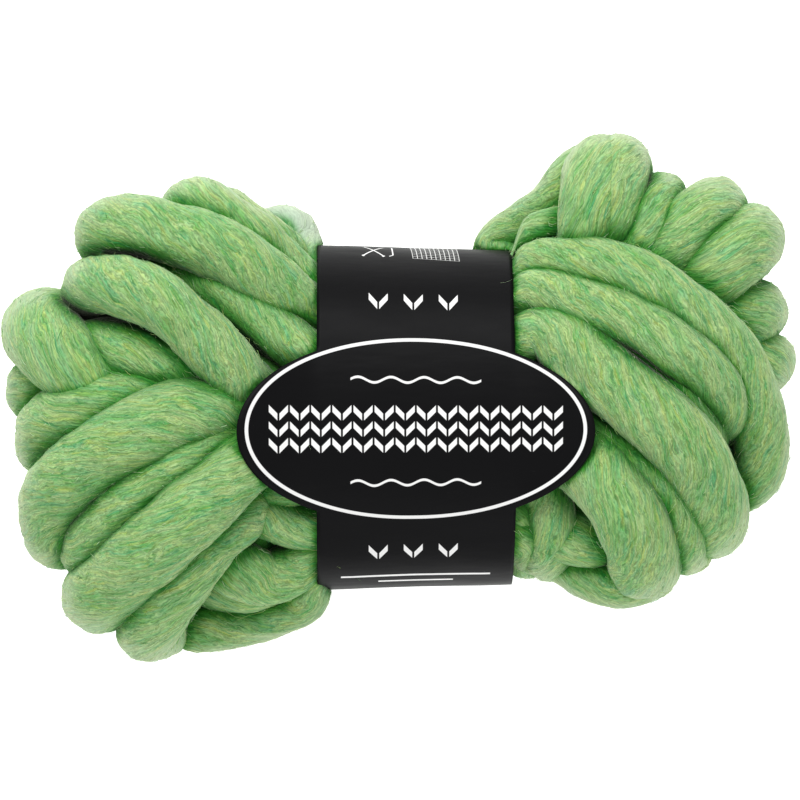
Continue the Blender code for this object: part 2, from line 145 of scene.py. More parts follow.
class Graph:
    """A node tree that is being built."""

    def __init__(self, tree):
        self.tree = tree

    def node(self, kind, settings=None, inputs=None, output=0):
        """Add a node, set it up, fill its inputs with values or wires, and return one output."""
        made = self.tree.nodes.new(kind)
        for name, value in (settings or {}).items():
            if name == "stops":
                self.shape_ramp(made.color_ramp, value)
            elif name == "captures":
                for kept_type, kept_name in value:
                    made.capture_items.new(kept_type, kept_name)
            else:
                setattr(made, name, value)
        self.fill(made, inputs or {})
        return Wire(self, made.outputs[output]) if made.outputs else None

    def fill(self, node, inputs):
        """Give sockets of a node their values or wires."""
        for key, value in inputs.items():
            if isinstance(value, Wire):
                self.tree.links.new(value.socket, node.inputs[key])
            else:
                node.inputs[key].default_value = value

    def also(self, wire, output):
        """Another output of the node that a wire comes from."""
        return Wire(self, wire.socket.node.outputs[output])

    def shape_ramp(self, ramp, stops):
        while len(ramp.elements) < len(stops):
            ramp.elements.new(1.0)
        for element, (place, colour) in zip(ramp.elements, stops):
            element.position = place
            element.color = (*colour, 1.0)

    def math(self, operation, first, second=0.0):
        return self.node("ShaderNodeMath", {"operation": operation}, {0: first, 1: second})

    def vector(self, operation, first, second):
        ends = [(end,) * 3 if isinstance(end, (int, float)) else end for end in (first, second)]
        return self.node("ShaderNodeVectorMath", {"operation": operation}, {0: ends[0], 1: ends[1]})

    def length(self, vector):
        return self.node("ShaderNodeVectorMath", {"operation": "LENGTH"}, {0: vector}, "Value")

    def parts(self, vector):
        split = self.node("ShaderNodeSeparateXYZ", inputs={0: vector})
        return split, self.also(split, 1), self.also(split, 2)

    def noise(self, vector, detail=2.0, rough=0.5, output="Fac"):
        """Soft noise between 0 and 1 whose grain is one unit of the vector."""
        inputs = {"Vector": vector, "Scale": 1.0, "Detail": detail, "Roughness": rough}
        return self.node("ShaderNodeTexNoise", inputs=inputs, output=output)

    def attribute(self, name, output="Fac"):
        """A point attribute, as a material reads it."""
        return self.node("ShaderNodeAttribute", {"attribute_name": name}, output=output)

    def step(self, value, low, high):
        """0 below low, 1 above high and a smooth ramp between them."""
        settings = {"interpolation_type": "SMOOTHSTEP"}
        return self.node("ShaderNodeMapRange", settings, {"Value": value, "From Min": low, "From Max": high})

    def mix(self, share, first, second):
        """A colour mixed from two, which are wires or triples."""
        ends = [end if isinstance(end, Wire) else (*end, 1.0) for end in (first, second)]
        settings = {"data_type": "RGBA"}
        return self.node("ShaderNodeMix", settings, {0: share, 6: ends[0], 7: ends[1]}, 2)


def new_material(name):
    """A material, its graph and its Principled shader."""
    made = bpy.data.materials.new(name)
    made.use_nodes = True
    return made, Graph(made.node_tree), made.node_tree.nodes["Principled BSDF"]


# %% Floor
LIGHT_TABLE = 0.85  # how brightly the sheet is lit from below
FLOOR_HALF = 4.0  # half its width in metres, enough to fill every view


def make_floor():
    """A pale sheet, softly lit from below, that the skein lies on."""
    corners = [(x * FLOOR_HALF, y * FLOOR_HALF, 0.0) for x, y in ((-1, -1), (1, -1), (1, 1), (-1, 1))]
    mesh = bpy.data.meshes.new("floor")
    mesh.from_pydata(corners, [], [(0, 1, 2, 3)])
    floor = add_object("floor", mesh)
    finish, graph, shader = new_material("pale floor")
    graph.fill(shader, {"Base Color": (0.88, 0.88, 0.88, 1.0), "Roughness": 0.9})
    graph.fill(shader, {"Emission Color": (1.0, 1.0, 1.0, 1.0), "Emission Strength": LIGHT_TABLE})
    mesh.materials.append(finish)
    return floor


make_floor()

# %% [markdown]
# ## The way each strand runs
#
# A machine winds the strand in turns. Each turn leaves the band at its front, runs over a lobe and
# comes back under the band at the back. The tables give the places that each turn passes, the same
# ones as in the solids, in millimetres. A smooth curve through them is better than a drawn spline
# here, because a centripetal Catmull-Rom curve passes through every place and never loops.

# %% Sizes of the band and the strand
BAND_MIDDLE = Vector((6.3, -7.0, 60.0))  # centre of the ring that the band forms
BAND_HALF_Y = 68.5  # half the ring's size along Y, to the outside of the paper
BAND_HALF_Z = 51.5  # half the ring's size along Z
BAND_WIDE = 79.0  # width of the paper strip along X
BAND_ROUND = 2.25  # 2 would make the ring an ellipse, more makes it squarer
BAND_TAPER = 0.016  # share by which the ring's Y size shrinks from its middle to its right edge
OVAL_HALF_X = 71.0  # the oval front, half its length along X
OVAL_HALF_Y = 38.2  # and half its height along the paper
OVAL_DROP = 5.5  # how far the oval sits below the middle of the front
WING_RISE = 10.0  # how far each tip of the oval is lifted by the yarn below it
PAPER = 0.3  # thickness of the paper
CAD_PAPER = 1.3  # room that the solids keep for the paper
WAIST_WIDE = 21.0  # width of a strand that is squeezed under the band
EASE = 30.0  # length over which a strand swells from the band to its full width
LAYER = 0.9  # depth of one layer of strands under the paper, in strand widths
TUCK = 0.06  # share of the way to the middle of the band that a strand's hidden ends move
WING_BEND = 1.4  # power by which the lift of the oval's wings grows toward the tips
CURVE_STEPS = 24  # points between two places of a turn, before they are spaced evenly
PATH_STEP = 3.0  # distance between the points of a guide

# %% Turns of the left lobe
Turn = namedtuple("Turn", "name wide enter front back leave")

LEFT_TURNS = (
    Turn("tuft", 17, (48, 0),
         ((-40.5, 64, 56), (-43.5, 70.5, 53)),
         ((-62, 64, 38), (-52, 44, 22)), (42, 0)),
    Turn("crown_back", 20, (44, 1),
         ((-50, 62, 68), (-62, 71, 70), (-72, 77, 62)),
         ((-78, 70, 40), (-68, 56, 22)), (38, 1)),
    Turn("crown", 23, (43, 0),
         ((-52, 58, 84), (-67, 71, 90), (-80, 78, 85)),
         ((-87, 74, 60), (-80, 60, 26), (-60, 44, 16)), (34, 0)),
    Turn("shoulder", 25, (36, 0),
         ((-52, 47, 98), (-68, 58, 104), (-86, 65, 104), (-104, 70, 97), (-118, 68, 80)),
         ((-114, 62, 50), (-96, 50, 18), (-64, 34, 12)), (26, 0)),
    Turn("tucked_upper", 22, (17, 0),
         ((-52, 28, 98), (-72, 43, 98), (-92, 54, 88)),
         ((-108, 56, 68), (-92, 40, 30), (-60, 30, 28)), (30, 1)),
    Turn("sash", 24, (-8, 0),
         ((-54, -2, 98), (-70, 16, 113), (-92, 37, 119), (-109, 45, 110), (-121, 46, 92)),
         ((-124, 39, 58), (-104, 30, 18), (-66, 20, 13)), (16, 0)),
    Turn("left_hook", 32, (0, 1),
         ((-84, -4, 84), (-114, 2, 93), (-131, 14, 97), (-143.5, 26, 80)),
         ((-140, 29, 46), (-110, 20, 15), (-70, 12, 14)), (8, 0)),
    Turn("lens", 25, (2, 1),
         ((-66, 8, 96), (-88, 14, 103), (-106, 19, 102), (-126, 20, 86)),
         ((-147.5, 3, 57), (-116, 3, 22), (-70, 4, 28)), (2, 1)),
    Turn("left_upper", 29, (-2, 1),
         ((-68, 1, 95), (-104, 1, 100), (-124, -4, 101), (-137, -9, 88), (-141.5, -18, 64)),
         ((-138, -11, 34), (-106, -6, 14), (-66, -4, 14)), (-3, 0)),
    Turn("left_middle", 29, (-4, 0),
         ((-62, -2, 100), (-88, -6, 112), (-108, -15, 115), (-127, -27, 105), (-138, -38.5, 88),
          (-139, -49, 74)),
         ((-136, -54, 52), (-112, -30, 20), (-68, -14, 13)), (-12, 0)),
    Turn("left_lower", 22, (-14, 0),
         ((-60, -10, 99), (-90, -25, 112), (-108, -40, 109), (-121, -53, 96), (-126, -61, 74)),
         ((-121, -55, 42), (-98, -36, 16), (-64, -22, 16)), (-20, 0)),
    Turn("long_lobe", 29, (-22, 0),
         ((-54, -18, 97), (-72, -34, 113), (-92, -53, 117), (-109, -68, 102), (-122, -79.5, 76)),
         ((-113, -73, 44), (-92, -52, 16), (-62, -32, 13)), (-29, 0)),
    Turn("lower_lobe", 27, (-30, 0),
         ((-56, -36, 88), (-73, -52, 98), (-85, -67, 102), (-95, -81, 92), (-101, -92.5, 68)),
         ((-93, -87, 38), (-78, -66, 15), (-58, -42, 14)), (-38, 0)),
    Turn("under_lobe", 20, (-50, 0),
         ((-44, -49, 88), (-60, -44, 90), (-78, -46, 84)),
         ((-92, -60, 60), (-84, -70, 36), (-60, -56, 28)), (-44, 1)),
    Turn("left_bow", 25, (-58, 0),
         ((-42, -66, 76), (-54, -71, 78), (-66, -67, 84), (-76, -58, 80)),
         ((-94, -72, 62), (-86, -84, 42), (-62, -66, 24)), (-50, 0)),
    Turn("left_side", 24, (-60, 0),
         ((-46, -68, 66), (-60, -74, 66), (-76, -72, 60)),
         ((-84, -62, 44), (-62, -60, 34)), (-56, 1)),
    Turn("left_hem", 21, (-60, 0),
         ((-40, -80, 60), (-51, -86, 56), (-67, -90.5, 52), (-84, -92, 50)),
         ((-82, -86, 30), (-64, -70, 16), (-52, -60, 18)), (-56, 0)),
)

# %% Turns of the right lobe
RIGHT_TURNS = (
    Turn("dark_arm", 20, (50, 0),
         ((39, 61, 46), (50.5, 70.5, 50), (62.5, 80, 58), (73.5, 93, 62)),
         ((82, 88, 44), (76, 68, 20), (60, 50, 20)), (44, 0)),
    Turn("small_arc", 14, (46, 0),
         ((46, 59, 70), (52, 67, 75), (63, 71, 76)),
         ((72, 70, 66), (66, 60, 50)), (40, 1)),
    Turn("wrap", 28, (38, 1),
         ((66, 44, 66), (75.5, 58, 83), (77, 75, 92), (79.5, 91, 82)),
         ((86, 88, 50), (80, 66, 18), (60, 44, 16)), (34, 0)),
    Turn("wrap_side", 26, (36, 1),
         ((71, 44, 66), (82, 58, 82), (85, 76, 91.5), (87, 92.5, 81)),
         ((90, 92, 54), (84, 66, 30), (62, 44, 26)), (32, 1)),
    Turn("fan_1", 22, (30, 1),
         ((70, 38, 82), (96, 60, 92), (102, 74, 88), (105, 80, 74)),
         ((104, 78, 48), (92, 58, 30), (64, 40, 28)), (30, 1)),
    Turn("fan_2", 25, (24, 1),
         ((80, 34, 84), (108, 59, 92), (118, 72, 90), (127, 78, 74)),
         ((123, 72, 44), (102, 52, 16), (66, 34, 13)), (24, 0)),
    Turn("fan_3", 30, (18, 1),
         ((84, 28, 84), (118, 44, 88), (130, 56, 90), (140, 64, 74)),
         ((136, 60, 44), (112, 40, 17), (70, 24, 15)), (15, 0)),
    Turn("fan_4", 27, (12, 1),
         ((90, 20, 84), (122, 32, 84), (137, 35, 80), (143, 36, 64)),
         ((138, 33, 40), (112, 22, 26), (72, 16, 28)), (12, 1)),
    Turn("fan_5", 26, (4, 1),
         ((96, 10, 82), (126, 17, 78), (141, 17, 70), (147, 16, 57)),
         ((140, 12, 34), (112, 10, 13), (70, 8, 14)), (6, 0)),
    Turn("outer_arc", 23, (47, 0),
         ((57, 54, 86), (74, 54, 99), (92, 50, 107), (111, 38, 109), (128, 24, 104), (139, 7, 95),
          (145, -11, 83), (143, -30, 68)),
         ((131, -33, 40), (106, -16, 26), (70, -4, 28)), (-2, 1)),
    Turn("middle_arc", 22, (38, 0),
         ((56, 43, 95), (75, 38, 108), (95, 30, 115), (112, 19, 115), (125, 7, 106), (131, -3, 92),
          (131, -9, 72)),
         ((126, -14, 46), (104, -10, 16), (68, -4, 13)), (-4, 0)),
    Turn("tucked_arc", 20, (22, 1),
         ((80, 21, 101), (98, 12, 109), (110, 1, 108), (118, -8, 100), (122, -15, 84)),
         ((121, -22, 60), (108, -22, 32), (72, -14, 28)), (-12, 1)),
    Turn("broad_lobe", 29, (22, 0),
         ((59, 27, 102), (78, 13, 112), (98, -4, 117), (115, -21, 112), (124, -38, 96), (125, -49, 74)),
         ((122, -48, 44), (100, -32, 16), (66, -16, 13)), (-13, 0)),
    Turn("slim_lobe", 21, (4, 0),
         ((68, -6, 98), (88, -18, 103), (102, -30, 104), (111, -44, 97), (115, -57, 77)),
         ((114, -59, 48), (92, -44, 26), (64, -28, 26)), (-22, 1)),
    Turn("fold_lobe", 30, (-8, 0),
         ((58, -10, 94), (74, -24, 102), (88, -41, 109), (95.5, -55, 100), (98, -66, 80)),
         ((92, -61, 50), (76, -44, 24), (58, -36, 22)), (-34, 0)),
    Turn("fold_hook", 21, (-52, 0),
         ((54, -60, 62), (66, -64, 66), (78, -71, 70), (90, -74, 74), (100, -68, 80)),
         ((99, -54, 66), (84, -46, 50)), (-44, 1)),
    Turn("right_post", 24, (-26, 0),
         ((56, -36, 90), (61, -50, 86), (60, -62, 68)),
         ((62, -60, 42), (64, -46, 22), (58, -36, 16)), (-30, 0)),
    Turn("post_strip", 16, (-46, 0),
         ((49, -54, 74), (50, -64, 58)),
         ((54, -62, 38), (54, -54, 26)), (-48, 0)),
    Turn("right_side", 24, (-46, 1),
         ((56, -51, 78), (72, -55, 82), (85, -54, 74)),
         ((84, -54, 48), (66, -50, 34)), (-44, 1)),
    Turn("right_back", 24, (46, 1),
         ((54, 54, 60), (70, 64, 50)),
         ((74, 62, 34), (60, 50, 28)), (42, 1)),
    Turn("under_tip", 24, (-2, 1),
         ((80, 0, 60), (120, -8, 66)),
         ((138, -12, 44), (116, -14, 15), (74, -8, 14)), (-8, 1)),
    Turn("under_right", 26, (10, 1),
         ((70, -20, 60), (104, -40, 56)),
         ((112, -44, 40), (84, -50, 15)), (-34, 0)),
)
print("turns:", len(LEFT_TURNS), "left and", len(RIGHT_TURNS), "right")


# %% A smooth path for each turn
def under_paper(y, layer, face):
    """The height of a strand under the band: face is 1 at the front and -1 at the back."""
    inset = CAD_PAPER + WAIST_WIDE / 2 + layer * WAIST_WIDE * LAYER
    share = min(1.0, abs((y - BAND_MIDDLE.y) / (BAND_HALF_Y - inset)))
    rise = (1.0 - share**BAND_ROUND) ** (1.0 / BAND_ROUND)
    return BAND_MIDDLE.z + face * (BAND_HALF_Z - inset) * rise


def turn_places(turn, side):
    """Every place of a turn: out of the band, over the lobe and back under the band."""
    edge = BAND_MIDDLE.x + side * BAND_WIDE / 2
    inside = BAND_MIDDLE.x + side * BAND_WIDE / 8
    start = Vector((edge, turn.enter[0], under_paper(*turn.enter, 1)))
    end = Vector((edge, turn.leave[0], under_paper(*turn.leave, -1)))
    first = start.lerp(BAND_MIDDLE, TUCK)
    last = end.lerp(BAND_MIDDLE, TUCK)
    first.x = inside
    last.x = inside
    middle = [Vector(place) for place in turn.front + turn.back]
    return [first, start, *middle, end, last]


def smooth_path(places, step):
    """Points every step along a centripetal Catmull-Rom curve through the places."""
    ends = [2 * places[0] - places[1], *places, 2 * places[-1] - places[-2]]
    dense = []
    for a, b, c, d in zip(ends, ends[1:], ends[2:], ends[3:]):
        t1 = (b - a).length ** 0.5
        t2 = t1 + (c - b).length ** 0.5
        t3 = t2 + (d - c).length ** 0.5
        for i in range(CURVE_STEPS):
            t = t1 + (t2 - t1) * i / CURVE_STEPS
            ab = a.lerp(b, t / t1)
            bc = b.lerp(c, (t - t1) / (t2 - t1))
            cd = c.lerp(d, (t - t2) / (t3 - t2))
            abc = ab.lerp(bc, t / t2)
            bcd = bc.lerp(cd, (t - t1) / (t3 - t1))
            dense.append(abc.lerp(bcd, (t - t1) / (t2 - t1)))
    dense.append(places[-1])
    path = [dense[0]]
    walked = 0.0
    for a, b in zip(dense, dense[1:]):
        walked += (b - a).length
        if walked >= step:
            path.append(b)
            walked = 0.0
    return path


def strand_radius(turn, side, x):
    """Half the width of a strand: squeezed under the band, full from EASE beyond it."""
    edge = BAND_MIDDLE.x + side * BAND_WIDE / 2
    share = min(1.0, max(0.0, side * (x - edge) / EASE))
    ease = share * share * (3 - 2 * share)
    narrow = min(WAIST_WIDE, turn.wide)
    return (narrow + (turn.wide - narrow) * ease) / 2


# %% One guide curve for each lobe
def make_guides(name, turns, side):
    """All turns of a lobe as the splines of one curve, each point with the strand's radius."""
    data = bpy.data.curves.new(name, "CURVE")
    data.dimensions = "3D"
    walked = 0.0
    for turn in turns:
        path = smooth_path(turn_places(turn, side), PATH_STEP)
        spline = data.splines.new("POLY")
        spline.points.add(len(path) - 1)
        for point, place in zip(spline.points, path):
            point.co = (*(place * MM), 1.0)
            point.radius = strand_radius(turn, side, place.x) * MM
        walked += sum((b - a).length for a, b in zip(path, path[1:]))
    print(name, len(turns), "turns,", round(walked * MM, 2), "m of strand")
    return add_object(name, data)


left_guides = make_guides("left_guides", LEFT_TURNS, -1)
right_guides = make_guides("right_guides", RIGHT_TURNS, 1)

# %% [markdown]
# ## The roving finish
#
# Roving is a loose rope of combed fibres in several greens, blended before spinning, so that short
# streaks of teal, yellow and dark green lie in a light green ground. The fibres run round the
# strand in a steep helix, because it has a light twist. The pattern is therefore painted in fibre
# coordinates, which a later step stores on the mesh: x runs along the strand, and y and z turn
# with the twist. Noise that is stretched along x then makes streaks that follow the fibres.
# Three shares that later steps store do the rest: how pale the tuft is, how much pale rim light is
# painted at a rim, and how closed in a point is, which sets the painted shade in its crevices.


# %% Streaked roving
def fibre_noise(graph, fibre, long, across, shift=0.0, detail=2.0):
    """Noise in streaks of a length and a width in millimetres."""
    stretch = (1 / (long * MM), 1 / (across * MM), 1 / (across * MM))
    return graph.noise(fibre * stretch + (shift, shift * 1.7, -shift), detail)


def filaments(graph, fibre, long, across, shift, half=0.09):
    """Thin curly lines, where a stretched noise passes through its middle value."""
    level = fibre_noise(graph, fibre, long, across, shift, 1.0) - 0.5
    return 1.0 - graph.step(graph.math("ABSOLUTE", level), half * 0.3, half)


LIGHT = (0.31, 0.45, 0.18)  # the ground's two ends
MIDDLE = (0.12, 0.34, 0.09)
DARK = (0.04, 0.22, 0.045)  # streaks and single fibres
TEAL = (0.07, 0.33, 0.15)
OLIVE = (0.38, 0.46, 0.11)
PALE = (0.46, 0.62, 0.32)
TUFT = (0.48, 0.58, 0.47)  # the pale colour of the tuft's tip
PAINTED_RIM_LIGHT = (0.54, 0.60, 0.44)  # pale rim light painted on outer rims
PAINTED_SHADE = (0.20, 0.52, 0.20)  # painted shade: share of each colour that is left between two strands
PAINTED_CREVICE_SHADOW = (0.003, 0.030, 0.003)  # painted shadow at the bottom of a crevice


def roving_finish():
    """Heathered green roving, matte, with a sheen, painted rim light at outer rims and painted shade in
    crevices.
    """
    finish, graph, shader = new_material("heathered roving")
    raw = graph.attribute("fibre", "Vector")
    wander = graph.noise(raw / (12 * MM), 1.0, output="Color") - 0.5
    curl = graph.noise(raw / (1.8 * MM), 2.0, output="Color") - 0.5
    fibre = raw + wander * (0.0, 7 * MM, 7 * MM)
    felt = fibre + curl * (1.6 * MM, 0.8 * MM, 0.8 * MM)
    frizz = fibre + curl * (3.0 * MM, 1.8 * MM, 1.8 * MM)
    patch = fibre_noise(graph, fibre, 34, 5.0, 3.1, 1.0)
    streak = fibre_noise(graph, felt, 18, 1.6, 7.3)
    teal = fibre_noise(graph, felt, 26, 2.2, 11.7)
    olive = fibre_noise(graph, felt, 20, 1.9, 23.9)
    dark = fibre_noise(graph, felt, 14, 1.2, 31.4)
    colour = graph.mix(graph.step(streak * 0.5 + patch * 0.5, 0.38, 0.62), MIDDLE, LIGHT)
    colour = graph.mix(graph.step(teal, 0.52, 0.68) * 0.65, colour, TEAL)
    colour = graph.mix(graph.step(olive, 0.53, 0.70) * 0.6, colour, OLIVE)
    colour = graph.mix(graph.step(dark, 0.54, 0.76) * 0.6, colour, DARK)
    height = patch * 1.2 + streak * 0.8 - dark * 0.6
    layers = ((16.0, 2.6, 0.0, PALE, 0.17), (15.0, 2.5, 5.5, DARK, 0.16), (16.0, 2.4, 9.8, OLIVE, 0.18),
              (12.0, 2.2, 14.3, PALE, 0.17), (14.0, 2.4, 27.2, TEAL, 0.20))
    for long, across, shift, tint, share in layers:
        line = filaments(graph, frizz, long, across, shift)
        colour = graph.mix(line * share, colour, tint)
        height = height + line * (-0.2 if tint is DARK else 0.2)
    fuzz_grain = graph.step(fibre_noise(graph, frizz, 4.0, 0.5, 51.3), 0.30, 0.70)
    colour = colour * (0.69 + fuzz_grain * 0.62)
    height = height + fuzz_grain * 0.35
    colour = graph.mix(graph.attribute("pale") * 0.88, colour, (fuzz_grain * 0.26 + 0.87) * TUFT)
    # Painted rim light: outer rims are mixed toward a pale green.
    colour = graph.mix(graph.attribute("frost") * 0.62, colour, (fuzz_grain * 0.3 + 0.85) * PAINTED_RIM_LIGHT)
    crevice = graph.attribute("crevice")
    # Painted shade: the more closed in a point is, the darker and greener it is painted, and the deepest
    # crevices go near black.
    colour = graph.mix(graph.step(crevice, 0.0, 0.36), colour, colour * PAINTED_SHADE)
    colour = graph.mix(graph.step(crevice, 0.34, 0.66), colour, PAINTED_CREVICE_SHADOW)
    bump = graph.node("ShaderNodeBump", inputs={"Strength": 0.5, "Distance": 0.0007, "Height": height})
    graph.fill(shader, {"Base Color": colour, "Normal": bump, "Roughness": 1.0, "Specular IOR Level": 0.04})
    sheen = {"Sheen Weight": 0.25, "Sheen Roughness": 0.35, "Sheen Tint": (1.0, 1.0, 0.85, 1.0)}
    graph.fill(shader, sheen)
    return finish


roving = roving_finish()

# %% [markdown]
# ## Strands along the guides
#
# A bevelled curve would give smooth pipes, but a strand of roving is uneven: it swells and thins,
# and its fibres lie in flat clumps that turn with the twist. A node tree sweeps a circle along each
# guide, moves the surface in and out, and stores what later steps need: the fibre coordinates, the
# heading of the fibres, which the loose hairs follow, and the centre and number of the turn.


# %% Helpers for modifiers
def add_inputs(tree, rows):
    """Give a Geometry Nodes tree its geometry sockets and its named inputs."""
    tree.interface.new_socket("Geometry", in_out="OUTPUT", socket_type="NodeSocketGeometry")
    tree.interface.new_socket("Geometry", in_out="INPUT", socket_type="NodeSocketGeometry")
    for name, kind, default in rows:
        socket = tree.interface.new_socket(name, in_out="INPUT", socket_type="NodeSocket" + kind)
        if default is not None:
            socket.default_value = default


def named_vector(graph, name):
    """A vector attribute, as Geometry Nodes read it."""
    return graph.node("GeometryNodeInputNamedAttribute", {"data_type": "FLOAT_VECTOR"}, {"Name": name})


def store(graph, geometry, name, value, kind="FLOAT"):
    """Keep a value on the points of a geometry under a name."""
    return graph.node(
        "GeometryNodeStoreNamedAttribute", {"data_type": kind, "domain": "POINT"},
        {"Geometry": geometry, "Name": name, "Value": value})


def end_tree(graph, geometry, finish):
    """The last nodes of each tree: smooth, with no instances left, and with a finish."""
    smooth = graph.node("GeometryNodeSetShadeSmooth", inputs={"Geometry": geometry})
    solid = graph.node("GeometryNodeRealizeInstances", inputs={"Geometry": smooth})
    painted = graph.node("GeometryNodeSetMaterial", inputs={"Geometry": solid, "Material": finish})
    graph.node("NodeGroupOutput", inputs={"Geometry": painted})


def run_nodes(thing, tree, name, **values):
    """Put a tree on an object, set its inputs, and return a plain mesh object of the result."""
    modifier = thing.modifiers.new(tree.name, "NODES")
    modifier.node_group = tree
    for socket in tree.interface.items_tree:
        key = socket.name.lower().replace(" ", "_")
        if socket.in_out == "INPUT" and key in values:
            modifier[socket.identifier] = values[key]
    bpy.context.view_layer.update()
    graph = bpy.context.evaluated_depsgraph_get()
    mesh = bpy.data.meshes.new_from_object(
        thing.evaluated_get(graph), preserve_all_data_layers=True, depsgraph=graph)
    mesh.name = name
    thing.modifiers.remove(modifier)
    return add_object(name, mesh)


def count_triangles(thing):
    """How many triangles a piece has, a face of n sides counting n - 2."""
    sides = np.empty(len(thing.data.polygons), np.int32)
    thing.data.polygons.foreach_get("loop_total", sides)
    return int((sides - 2).sum())


# %% The tree that makes strands
TWIST = 45.0  # radians that the fibres turn in a metre of strand
FIBRE_TURN = math.radians(31)  # angle between the fibres and the strand at its surface


def strand_tree():
    """A circle swept along each guide, swollen and clumped, with its fibre coordinates."""
    tree = bpy.data.node_groups.new("strands along guides", "GeometryNodeTree")
    rows = (("Ring Spacing", "Float", 2.3 * MM), ("Sides", "Int", 32), ("Swell", "Float", 1.7 * MM),
            ("Clumps", "Float", 1.3 * MM), ("Seed", "Float", 0.0), ("Finish", "Material", None))
    add_inputs(tree, rows)
    graph = Graph(tree)
    guides = graph.node("NodeGroupInput")
    spacing, sides, swell, clumps, seed, finish = (graph.also(guides, row[0]) for row in rows)
    rings = graph.node("GeometryNodeResampleCurve", {"mode": "LENGTH"}, {"Curve": guides, "Length": spacing})
    turn = graph.node(
        "GeometryNodeFieldOnDomain", {"domain": "CURVE"}, {0: graph.node("GeometryNodeInputIndex")})
    kept = graph.node(
        "GeometryNodeCaptureAttribute",
        {"captures": (("VECTOR", "centre"), ("VECTOR", "ahead"), ("FLOAT", "along"), ("FLOAT", "turn"))},
        {"Geometry": rings, "centre": graph.node("GeometryNodeInputPosition"),
         "ahead": graph.node("GeometryNodeInputTangent"),
         "along": graph.node("GeometryNodeSplineParameter", output="Length"), "turn": turn},
    )
    circle = graph.node("GeometryNodeCurvePrimitiveCircle", inputs={"Resolution": sides, "Radius": 1.0})
    profile = graph.node(
        "GeometryNodeCaptureAttribute", {"captures": (("FLOAT", "round"),)},
        {"Geometry": circle, "round": graph.node("GeometryNodeSplineParameter", output="Factor")},
    )
    radius = graph.node("GeometryNodeInputRadius")
    tube = graph.node(
        "GeometryNodeCurveToMesh",
        inputs={"Curve": kept, "Profile Curve": profile, "Scale": radius, "Fill Caps": True},
    )
    centre, ahead, along, turn = (graph.also(kept, name) for name in ("centre", "ahead", "along", "turn"))
    angle = graph.also(profile, "round") * math.tau - along * TWIST
    place = graph.node("GeometryNodeInputPosition")
    spoke = place - centre
    outward = graph.node("ShaderNodeVectorMath", {"operation": "NORMALIZE"}, {0: spoke})
    reach = graph.length(spoke)
    offset = turn * 0.731 + seed
    round_y, round_z = graph.math("COSINE", angle) * reach, graph.math("SINE", angle) * reach
    fibre = graph.node("ShaderNodeCombineXYZ", inputs={0: along + offset, 1: round_y, 2: round_z})
    swelling = graph.noise(place / (26 * MM) + offset, 1.0) - 0.5
    clump = graph.noise(fibre * (1 / (60 * MM), 1 / (7 * MM), 1 / (7 * MM)), 2.0) - 0.5
    moved = graph.node(
        "GeometryNodeSetPosition",
        inputs={"Geometry": tube, "Offset": outward * (swelling * swell * 2 + clump * clumps * 2)},
    )
    sideways = graph.vector("CROSS_PRODUCT", ahead, outward)
    heading = ahead * math.cos(FIBRE_TURN) + sideways * math.sin(FIBRE_TURN)
    stored = moved
    for name, value in (("fibre", fibre), ("heading", heading), ("centre", centre)):
        stored = store(graph, stored, name, value, "FLOAT_VECTOR")
    end_tree(graph, store(graph, stored, "turn", turn), finish)
    return tree


strands = strand_tree()
left_strands = run_nodes(left_guides, strands, "left_strands", finish=roving, seed=0.0)
right_strands = run_nodes(right_guides, strands, "right_strands", finish=roving, seed=3.7)
for thing in (left_guides, right_guides):
    bpy.data.objects.remove(thing)
print("triangles:", count_triangles(left_strands), count_triangles(right_strands))

# %% [markdown]
# ## Yarn inside the lobes
#
# The real lobes hold more turns inside. Only a dark hint of them shows deep between the outer
# strands, so more strands would be wasted there. Three eggs in each lobe and one in the waist stand
# for them, with the same finish.

# %% Eggs of inner yarn
Filling = namedtuple("Filling", "x y z half_x half_y half_z")
FILLINGS = (
    Filling(-82, -4, 60, 48, 58, 40),
    Filling(-72, 34, 62, 30, 30, 32),
    Filling(-70, -48, 60, 28, 30, 32),
    Filling(90, 6, 60, 46, 52, 38),
    Filling(84, 50, 60, 26, 28, 30),
    Filling(78, -36, 58, 24, 28, 32),
    Filling(6, -7, 60, 60, 58, 42),
)


def store_values(mesh, name, values, kind="FLOAT", field="value"):
    """Keep an array on the points of a mesh under a name."""
    mesh.attributes.new(name, kind, "POINT").data.foreach_set(field, np.ravel(values))


def make_inner_yarn():
    """All eggs in one mesh, with fibre coordinates along X."""
    columns, rows = 48, 32
    around = np.linspace(0, math.tau, columns, endpoint=False)
    down = np.linspace(0, math.pi, rows + 1)[1:-1]
    ring = np.stack([np.cos(around), np.sin(around)], 1)
    body = [(math.cos(d), math.sin(d) * y, math.sin(d) * z) for d in down for y, z in ring]
    ball = np.array([(1.0, 0.0, 0.0), *body, (-1.0, 0.0, 0.0)])
    last = len(ball) - 1
    faces = []
    for c in range(columns):
        n = (c + 1) % columns
        faces.append((0, 1 + c, 1 + n))
        faces.append((last, last - columns + n, last - columns + c))
        for r in range(rows - 2):
            top = 1 + r * columns
            low = top + columns
            faces.append((top + c, low + c, low + n, top + n))
    places, all_faces = [], []
    for row in FILLINGS:
        start = len(ball) * len(places)
        places.append(ball * (row.half_x, row.half_y, row.half_z) + (row.x, row.y, row.z))
        all_faces += [tuple(i + start for i in face) for face in faces]
    mesh = bpy.data.meshes.new("inner_yarn")
    points = np.concatenate(places) * MM
    mesh.from_pydata(points, [], all_faces)
    store_values(mesh, "fibre", points, "FLOAT_VECTOR", "vector")
    store_values(mesh, "heading", [(0.0, 0.0, 1.0)] * len(points), "FLOAT_VECTOR", "vector")
    mesh.materials.append(roving)
    mesh.shade_smooth()
    return add_object("inner_yarn", mesh)


inner_yarn = make_inner_yarn()
print("inner yarn triangles:", count_triangles(inner_yarn))

